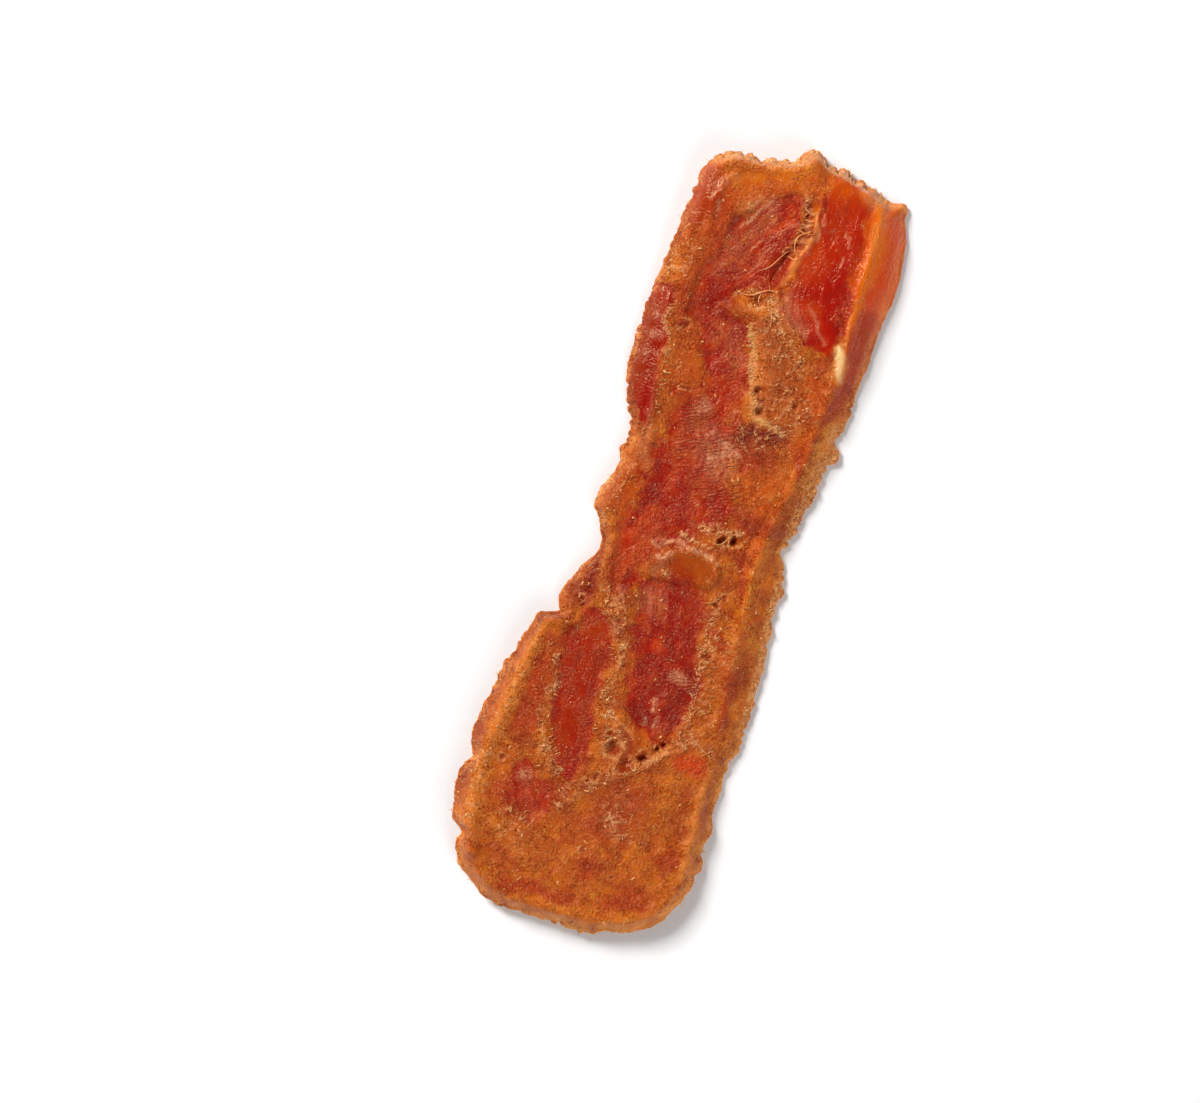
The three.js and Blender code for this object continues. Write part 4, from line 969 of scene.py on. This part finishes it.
def meat_material():
    """Dried chicken: golden grainy crust over red muscle with long fibres, tinted by the strip's looks."""
    material = bpy.data.materials.new("dried chicken meat")
    material.use_nodes = True
    tree = material.node_tree
    tree.nodes.clear()
    grain = put(tree, "ShaderNodeGroup", {}, node_tree=DRIED_GRAIN)
    tone, height, flecks, threads, pores = (
        grain.outputs[name] for name in ("Tone", "Height", "Glint Flecks", "Threads", "Pores"))
    place = put(tree, "ShaderNodeTexCoord").outputs["Object"]
    muscle, sleek = look_of(tree, "muscle"), look_of(tree, "sleek")
    dull = minus(tree, 1.0, sleek)

    # The vertex colour, varied by the grain on the crust and by long streaks on the muscle
    fibre_place = put(tree, "ShaderNodeCombineXYZ", {
        "X": times(tree, look_of(tree, "fibre_along"), 0.1 * MM),
        "Y": times(tree, look_of(tree, "fibre_across"), MM)}).outputs[0]
    fibres = speckle(tree, fibre_place, 0.8, 3.0, 0.6)
    grainy = mixed(tree, tone, GRAIN_SHADE, GRAIN_LIGHT)
    streaky = mixed(tree, eased(tree, fibres, 0.36, 0.64), FIBRE_SHADE, FIBRE_LIGHT)
    change = mixed(tree, muscle, grainy, mixed(tree, 0.3, streaky, grainy))
    change = mixed(tree, eased(tree, sleek, 0.6, 1.0, 0.0, 0.86), change, (1, 1, 1, 1))
    colour = put(tree, "ShaderNodeAttribute", attribute_name="colour").outputs["Color"]
    colour = put(tree, "ShaderNodeMix", {0: 1.0, 6: colour, 7: change}, data_type="RGBA",
                 blend_type="MULTIPLY").outputs[2]

    # Crumbs, pale fringes, pale crests of the wrinkles as painted glints, and milky films with painted
    # highlights over it, then hollows, pores, thin threads, and flecks that are partly painted glints
    lit = plus(tree, look_of(tree, "lace"), minus(tree, times(tree, tone, 0.8), 0.5))
    crumbs = mixed(tree, lit, light_of(CRUMB_GAP), light_of(CRUMB))
    crumbly = times(tree, look_of(tree, "crumb"), eased(tree, tone, 0.1, 0.7, 0.3, 0.95))
    colour = mixed(tree, crumbly, colour, crumbs)
    fringe = times(tree, look_of(tree, "fringe"), eased(tree, tone, 0.2, 0.8, 0.0, 0.6))
    bent = put(tree, "ShaderNodeMapping", {"Vector": place, "Rotation": (0, 0, WRINKLE_TURN)}).outputs[0]
    ripples = put(tree, "ShaderNodeTexWave", {
        "Vector": bent, "Scale": 0.5 / MM, "Distortion": 12.0, "Detail": 3.0, "Detail Scale": 0.6,
        "Detail Roughness": 0.55}, bands_direction="Y").outputs["Fac"]
    shrunk = times(tree, look_of(tree, "wrinkle"), eased(tree, speckle(tree, place, 2.6, 3.0), 0.4, 0.56))
    ripples = times(tree, ripples, shrunk)
    films = plus(tree, speckle(tree, bent, 0.45, 3.0, 0.7), fibres)
    films_and_glints = times(tree, look_of(tree, "haze_and_glints"), eased(tree, films, 0.82, 1.14, 0.1, 1.0))
    bits = times(tree, threads, eased(tree, tone, 0.35, 0.85, 0.0, 0.2))
    rarer = minus(tree, 0.6, times(tree, muscle, 0.35))
    for share, tint in (
            (fringe, PALE), (eased(tree, ripples, 0.4, 1.0, 0.0, 0.2), MILK_AND_GLINT), (films_and_glints, MILK_AND_GLINT),
            (times(tree, look_of(tree, "hollow"), 0.8), HOLLOW),
            (times(tree, pores, times(tree, dull, 0.26)), CAVITY),
            (times(tree, bits, dull), CRUMB), (times(tree, flecks, rarer), FLECK_AND_GLINT)):
        colour = mixed(tree, share, colour, light_of(tint))

    # Glossier and smoother where the muscle is sleek
    rough = minus(tree, eased(tree, tone, 0, 1, 0.33, 0.44), times(tree, sleek, 0.14))
    dry = minus(tree, 1.0, times(tree, sleek, 0.75))
    coarse_bump = plus(tree, times(tree, height, dry), times(tree, fibres, times(tree, sleek, 0.4)))
    fine_bump = plus(tree, times(tree, ripples, 0.42), times(tree, threads, times(tree, dry, 0.03)))
    bump = put(tree, "ShaderNodeBump", {
        "Height": plus(tree, coarse_bump, fine_bump), "Strength": 1.0, "Distance": BUMP_DEPTH * MM})
    shader = put(tree, "ShaderNodeBsdfPrincipled", {
        "Base Color": colour, "Roughness": rough, "Normal": bump.outputs[0], "Specular IOR Level": 0.38,
        "Specular Tint": (1.0, 0.85, 0.5, 1.0), "Subsurface Weight": 0.3,
        "Subsurface Radius": (1.0, 0.3, 0.1), "Subsurface Scale": 1.0 * MM})
    put(tree, "ShaderNodeOutputMaterial", {"Surface": shader.outputs[0]})
    return material


strip.data.materials.append(meat_material())
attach(strip, "root")
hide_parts("jerky_strip")

# The crumbs: dry whitish grains of fat and tissue, stuck along the crumb lines and round the holes, with a
# few strewn on the crust and along the torn outline. One mesh of small uneven lumps.

CRUMB_COUNT = 1600
CRUMB_SHADE, CRUMB_LIGHT = (226, 128, 64), (255, 192, 130)
chance = np.random.default_rng(11)


def ball(rings, around):
    """Places of a unit ball, from pole to pole by rings, and its faces."""
    tilt, turn = np.meshgrid(np.linspace(0, np.pi, rings + 2)[1:-1],
                             np.linspace(0, 2 * np.pi, around, False), indexing="ij")
    places = np.stack([np.sin(tilt) * np.cos(turn), np.sin(tilt) * np.sin(turn), np.cos(tilt)], -1)
    number = 1 + np.arange(rings * around).reshape(rings, around)
    after = np.roll(number, -1, axis=1)
    squares = np.stack([number[:-1], number[1:], after[1:], after[:-1]], -1).reshape(-1, 4).tolist()
    first = np.stack([0 * number[0], number[0], after[0]], -1).tolist()
    last = np.stack([0 * number[0] + rings * around + 1, after[-1], number[-1]], -1).tolist()
    return np.vstack([[(0, 0, 1)], places.reshape(-1, 3), [(0, 0, -1)]]), squares + first + last


def copies(count, size, faces):
    """The faces of one thing, repeated for that many copies of it."""
    return [[corner + size * k for corner in face] for k in range(count) for face in faces]


ball_places, ball_faces = ball(4, 7)
strewn = 0.012 + 0.7 * top_look["crumb"] ** 1.2 + 0.05 * top_look["fringe"]
strewn *= 1 - 0.95 * top_look["hollow"]
strewn *= 1 - 0.95 * smooth_step(0.3, 0.8, top_look["sleek"] * (1 - top_look["crumb"]))
strewn = strewn.ravel()
crumb_at = chance.choice(strewn.size, CRUMB_COUNT, replace=False, p=strewn / strewn.sum())
crumb_size = 0.05 + 0.14 * chance.random(CRUMB_COUNT) ** 3
crumb_middle = top_places[crumb_at] + (0, 0, 0.25) * crumb_size[:, None]
long_way = chance.normal(size=(CRUMB_COUNT, 3)) * (1, 1, 0.4)
long_way /= np.linalg.norm(long_way, axis=1, keepdims=True)
stretched = ball_places[None] + (0.3 + 1.5 * chance.random((CRUMB_COUNT, 1, 1))) * (
    (ball_places @ long_way.T).T[..., None] * long_way[:, None, :])
uneven = 1 + 0.3 * chance.uniform(-1, 1, (CRUMB_COUNT, len(ball_places), 1))
crumb_places = crumb_middle[:, None, :] + crumb_size[:, None, None] * stretched * uneven * (1, 1, 0.8)
crumbs = new_piece("crumbs", crumb_places.reshape(-1, 3), copies(CRUMB_COUNT, len(ball_places), ball_faces))


def crumb_material():
    """Dry crumbs and strands: cream to golden, a little see-through."""
    material = bpy.data.materials.new("dried crumb")
    material.use_nodes = True
    tree = material.node_tree
    tree.nodes.clear()
    grain = put(tree, "ShaderNodeGroup", {"Grain Size": 0.3}, node_tree=DRIED_GRAIN)
    colour = mixed(tree, grain.outputs["Tone"], light_of(CRUMB_SHADE), light_of(CRUMB_LIGHT))
    shader = put(tree, "ShaderNodeBsdfPrincipled", {
        "Base Color": colour, "Roughness": 0.5, "Specular IOR Level": 0.4,
        "Specular Tint": (1.0, 0.8, 0.6, 1.0), "Subsurface Weight": 0.3,
        "Subsurface Radius": (1.0, 0.5, 0.25), "Subsurface Scale": 0.6 * MM})
    put(tree, "ShaderNodeOutputMaterial", {"Surface": shader.outputs[0]})
    return material


CRUMB_MATERIAL = crumb_material()
crumbs.data.materials.append(CRUMB_MATERIAL)
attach(crumbs, "root")

# The strands: thin threads of dried tissue. Some span the torn places and the holes, many lie frayed along
# the crumb lines, and short hairs stand out from the torn outline. One mesh of tapered tubes.

# Threads that show one by one: radius, how high they arch, and the line
STRANDS = [
    (0.2, 0.5, [(8.5, 59.6), (7.8, 59), (6.7, 58.3), (6, 57.4), (6, 56), (6.5, 54.8), (7.3, 54.6)]),
    (0.14, 0.5, [(8.5, 58.8), (7.4, 58.6), (6.4, 58.9), (5.6, 59.1)]),
    (0.13, 0.4, [(8.4, 62.8), (7.5, 62.3), (6.7, 62.7), (6, 63.4)]),
    (0.12, 0.4, [(8.4, 61.2), (7.5, 61), (6.6, 61.3)]),
    (0.13, 0.4, [(8.5, 60.5), (7.7, 60.3), (6.9, 59.9), (6.4, 60.3)]),
    (0.12, 0.3, [(8.3, 57.2), (7.4, 57), (6.5, 57.4)]),
    (0.2, 0.4, [(7, 53.7), (6.2, 53.8), (5.4, 54.3)]),
    (0.14, 0.3, [(5.6, 55.2), (4.8, 54.6), (4, 53.4), (2.7, 51.5), (0.8, 50.2)]),
    (0.18, 0.4, [(5.2, 47.2), (3.8, 47.4), (2.5, 46.8), (0.7, 45.8), (-1.6, 45.8)]),
    (0.14, 0.3, [(1.8, 44.6), (2.8, 43.8), (4.2, 44.4), (5.8, 44)]),
    (0.14, 0.3, [(2.6, 46.8), (2.3, 45.4), (2.9, 44.2)]),
    (0.12, 0.3, [(6.2, 1.2), (7.3, 1.6), (8.4, 3), (9.3, 3.3)]),
    (0.12, 0.3, [(8.2, 1), (8.4, 2.2), (8.1, 3.2)]),
    (0.12, 0.3, [(10.5, -32.6), (12.5, -34.2), (15.4, -36)]),
]
STATIONS = 13
SIDES = 5
FRAYED = 560
HAIRS = 520


def surface_height(x, y):
    """Height of the upper face at any places inside the outline."""
    distance = beside(x, y, OUTLINE)[0]
    return upper_face(x, y, distance, skin(x, y, distance))


def tube_rings(lines, radius):
    """Rings of places round each line of stations: across the line, level and upright, by the tapered
    radius."""
    along = np.gradient(lines, axis=1)
    along /= np.linalg.norm(along, axis=2, keepdims=True) + 1e-9
    across = np.cross(along, (0, 0, 1.0))
    across /= np.linalg.norm(across, axis=2, keepdims=True) + 1e-9
    upright = np.cross(across, along)
    taper = np.sqrt(np.sin(np.pi * np.linspace(0.04, 0.96, lines.shape[1])))
    thick = np.asarray(radius)[:, None] * taper
    turn = np.linspace(0, 2 * np.pi, SIDES, False)
    round_it = across[..., None, :] * np.cos(turn)[:, None] + upright[..., None, :] * np.sin(turn)[:, None]
    return lines[..., None, :] + thick[..., None, None] * round_it


def tube_faces():
    """Faces of one tube: squares between its rings and a face at each end."""
    number = np.arange(STATIONS * SIDES).reshape(STATIONS, SIDES)
    after = np.roll(number, -1, axis=1)
    squares = np.stack([number[:-1], after[:-1], after[1:], number[1:]], -1).reshape(-1, 4).tolist()
    return squares + [number[0, ::-1].tolist(), number[-1].tolist()]


def crooked(start_x, start_y, heading, bend, shortest, longer, rare=1):
    """Paths seen from above: each starts at its place, its heading drifts by the sum of small random turns,
    and its steps along it add up. Their lengths run from shortest up to longer more, and a high rare
    favours short ones."""
    heading = heading + np.cumsum(chance.normal(0, bend, (len(heading), STATIONS)), axis=1)
    step = (shortest + longer * chance.random((len(heading), 1)) ** rare) / STATIONS
    path_x = start_x[:, None] + np.cumsum(np.cos(heading) * step, axis=1)
    path_y = start_y[:, None] + np.cumsum(np.sin(heading) * step, axis=1)
    return path_x, path_y


arch = np.sin(np.pi * np.linspace(0, 1, STATIONS))
lines, radii = [], []
for radius, lift, points in STRANDS:
    line_x, line_y = smooth_curve(points, STATIONS - 1)
    line_z = surface_height(line_x, line_y)
    straight = line_z[0] + (line_z[-1] - line_z[0]) * np.linspace(0, 1, STATIONS)
    line_z = np.maximum(line_z, straight + lift * arch) + 0.1 * radius
    lines.append(listed(line_x, line_y, line_z))
    radii.append(radius)

frayed = 0.01 + top_look["crumb"] ** 2 + 0.35 * top_look["fringe"]
frayed *= 1 - 0.97 * top_look["hollow"]
frayed *= smooth_step(0.3, 1.2, top_distance) * (1 - 0.9 * top_look["sleek"] * (1 - top_look["crumb"]))
frayed = frayed.ravel()
frayed_from = top_places[chance.choice(frayed.size, FRAYED, replace=False, p=frayed / frayed.sum())]
frayed_x, frayed_y = crooked(
    frayed_from[:, 0], frayed_from[:, 1], chance.uniform(0, 2 * np.pi, (FRAYED, 1)), 0.3, 0.3, 1.1)
frayed_lift = 0.02 + 0.2 * chance.random((FRAYED, 1)) ** 2
frayed_z = surface_height(frayed_x, frayed_y) + frayed_lift * arch
frayed_lines = np.stack([frayed_x, frayed_y, frayed_z], axis=2)

hairy = 0.15 + smooth_step(0.0, 0.7, noise(edge[:, 0], edge[:, 1], 4, 71))
hairy += 1.2 * painted(edge[:, 0], edge[:, 1], CRUMBLY_EDGES, 0.5)
hairy *= 1 - cut_side(edge[:, 0], edge[:, 1])
hair_at = chance.choice(len(edge), HAIRS, replace=False, p=hairy / hairy.sum())
root, away = edge[hair_at] - 0.25 * edge_out[hair_at], edge_out[hair_at]
outward = np.arctan2(away[:, 1], away[:, 0])[:, None] + chance.normal(0, 0.6, (HAIRS, 1))
hair_x, hair_y = crooked(root[:, 0], root[:, 1], outward, 0.25, 0.35, 1.1, 2)
drop = chance.uniform(-0.5, 0.25, (HAIRS, 1)) * np.linspace(0, 1, STATIONS)
hair_z = root[:, 2:] - 0.35 * chance.random((HAIRS, 1)) + drop
hair_lines = np.stack([hair_x, hair_y, hair_z], axis=2)

# Borders of thick crust that end in short spikes: the side that they point to, 1 for the left, how many
# they are, and the line
FRINGES = [
    (-1, 50, [(2, 41), (3.8, 37.2), (4.4, 34), (5, 30.8)]),
    (-1, 34, [(8.9, -8), (9.3, -14), (9.4, -20), (9.6, -28), (9.5, -33)]),
    (1, 34, [(1.5, -42.4), (5, -40), (8, -37), (10.5, -35.2)]),
    (-1, 30, [(-6.3, -18), (-6, -24), (-6, -32), (-5, -38)]),
    (1, 24, [(-15.2, -29), (-14.8, -33), (-15.5, -37), (-12.5, -42), (-10, -45.4)]),
    (1, 26, [(-2, 45.6), (1, 46.3), (3.5, 47.2), (5, 45)]),
    (1, 26, [(-12.3, 40), (-11.6, 36), (-11.2, 32), (-10.8, 27), (-10.6, 22)]),
    (-1, 20, [(-10, 14), (-12, 9), (-12.6, 4)]),
    (-1, 16, [(9.8, -30), (12.5, -33.8), (15.4, -36)]),
]
LINE_CELLS = 80
spiky = []
for side, count, points in FRINGES:
    line = smooth_curve(points, LINE_CELLS)
    spike_at = chance.integers(0, LINE_CELLS, count)
    start, ahead = line[:, spike_at], line[:, spike_at + 1] - line[:, spike_at]
    heading = np.arctan2(ahead[1], ahead[0])[:, None] + side * np.pi / 2 + chance.normal(0, 0.5, (count, 1))
    spike_x, spike_y = crooked(start[0], start[1], heading, 0.12, 0.4, 0.9, 2)
    spike_x = spike_x + chance.normal(0, 0.25, (count, 1))
    spike_y = spike_y + chance.normal(0, 0.25, (count, 1))
    spiky.append(np.stack([spike_x, spike_y, surface_height(spike_x, spike_y) + 0.02 + 0.1 * arch], axis=2))
spiky = np.concatenate(spiky)

all_lines = np.concatenate([np.array(lines), frayed_lines, spiky, hair_lines])
all_radii = np.r_[0.65 * np.array(radii), 0.03 + 0.035 * chance.random(FRAYED),
                  0.05 + 0.05 * chance.random(len(spiky)), 0.03 + 0.06 * chance.random(HAIRS) ** 2]
strands = new_piece("strands", tube_rings(all_lines, all_radii).reshape(-1, 3),
                    copies(len(all_lines), STATIONS * SIDES, tube_faces()))
strands.data.materials.append(CRUMB_MATERIAL)
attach(strands, "root")

# The table top, the lamps and the camera: a plain white surface under a soft lamp at the upper left of the
# picture, a wider and weaker one at the lower right, and a long lens straight above the strip.

FLOOR_SIZE = 3.0
floor_mesh = bpy.data.meshes.new("floor")
half = FLOOR_SIZE / 2
floor_mesh.from_pydata([(-half, -half, 0), (half, -half, 0), (half, half, 0), (-half, half, 0)], [],
                       [(0, 1, 2, 3)])
floor = bpy.data.objects.new("floor", floor_mesh)
bpy.context.scene.collection.objects.link(floor)
floor_material = bpy.data.materials.new("white table top")
floor_material.use_nodes = True
floor_shader = floor_material.node_tree.nodes["Principled BSDF"]
floor_shader.inputs["Base Color"].default_value = (0.97, 0.97, 0.97, 1)
floor_shader.inputs["Roughness"].default_value = 0.8
floor_mesh.materials.append(floor_material)

# The picture is 214 mm wide at the upper face of the strip, which leans 15 degrees to the right in it
PICTURE_WIDTH = 0.2143
LEAN = math.radians(15)
FOCAL = 100.0
SENSOR = 36.0
FACE_HEIGHT = 0.004
PICTURE_CENTRE = (-0.01336 - STRIP_MIDDLE[0] * MM, -0.00534 - STRIP_MIDDLE[1] * MM)


def lamp(name, away, size, power):
    """A square soft lamp, away in picture terms: metres to the right, up the picture and above the strip.
    It faces the strip."""
    data = bpy.data.lights.new(name, "AREA")
    data.energy = power
    data.size = size
    thing = bpy.data.objects.new(name, data)
    right, up, above = away
    spot = (right * math.cos(LEAN) - up * math.sin(LEAN),
            right * math.sin(LEAN) + up * math.cos(LEAN), above)
    thing.location = spot
    thing.rotation_euler = (-Vector(spot)).to_track_quat("-Z", "Y").to_euler()
    bpy.context.scene.collection.objects.link(thing)


lamp("main lamp", (-0.65, 0.7, 0.8), 0.4, 17.5)
lamp("fill lamp", (0.7, -0.9, 0.7), 0.9, 8.5)

world = bpy.data.worlds.new("pale room")
world.use_nodes = True
# The room is darkest straight overhead, so that no pale sheen lies over the meat's colours
sky = world.node_tree
direction = put(sky, "ShaderNodeTexCoord").outputs["Generated"]
up = put(sky, "ShaderNodeSeparateXYZ", {0: direction}).outputs["Z"]
sky.links.new(eased(sky, up, 0.2, 0.95, 0.4, 0.08), sky.nodes["Background"].inputs["Strength"])
sky.nodes["Background"].inputs["Color"].default_value = (1, 1, 1, 1)
bpy.context.scene.world = world
bpy.context.scene.view_settings.view_transform = "Standard"

camera_data = bpy.data.cameras.new("camera")
camera_data.lens = FOCAL
camera_data.sensor_width = SENSOR
camera = bpy.data.objects.new("camera", camera_data)
camera.location = (*PICTURE_CENTRE, PICTURE_WIDTH / SENSOR * FOCAL + FACE_HEIGHT)
camera.rotation_euler = (0, 0, LEAN)
bpy.context.scene.collection.objects.link(camera)
bpy.context.scene.camera = camera
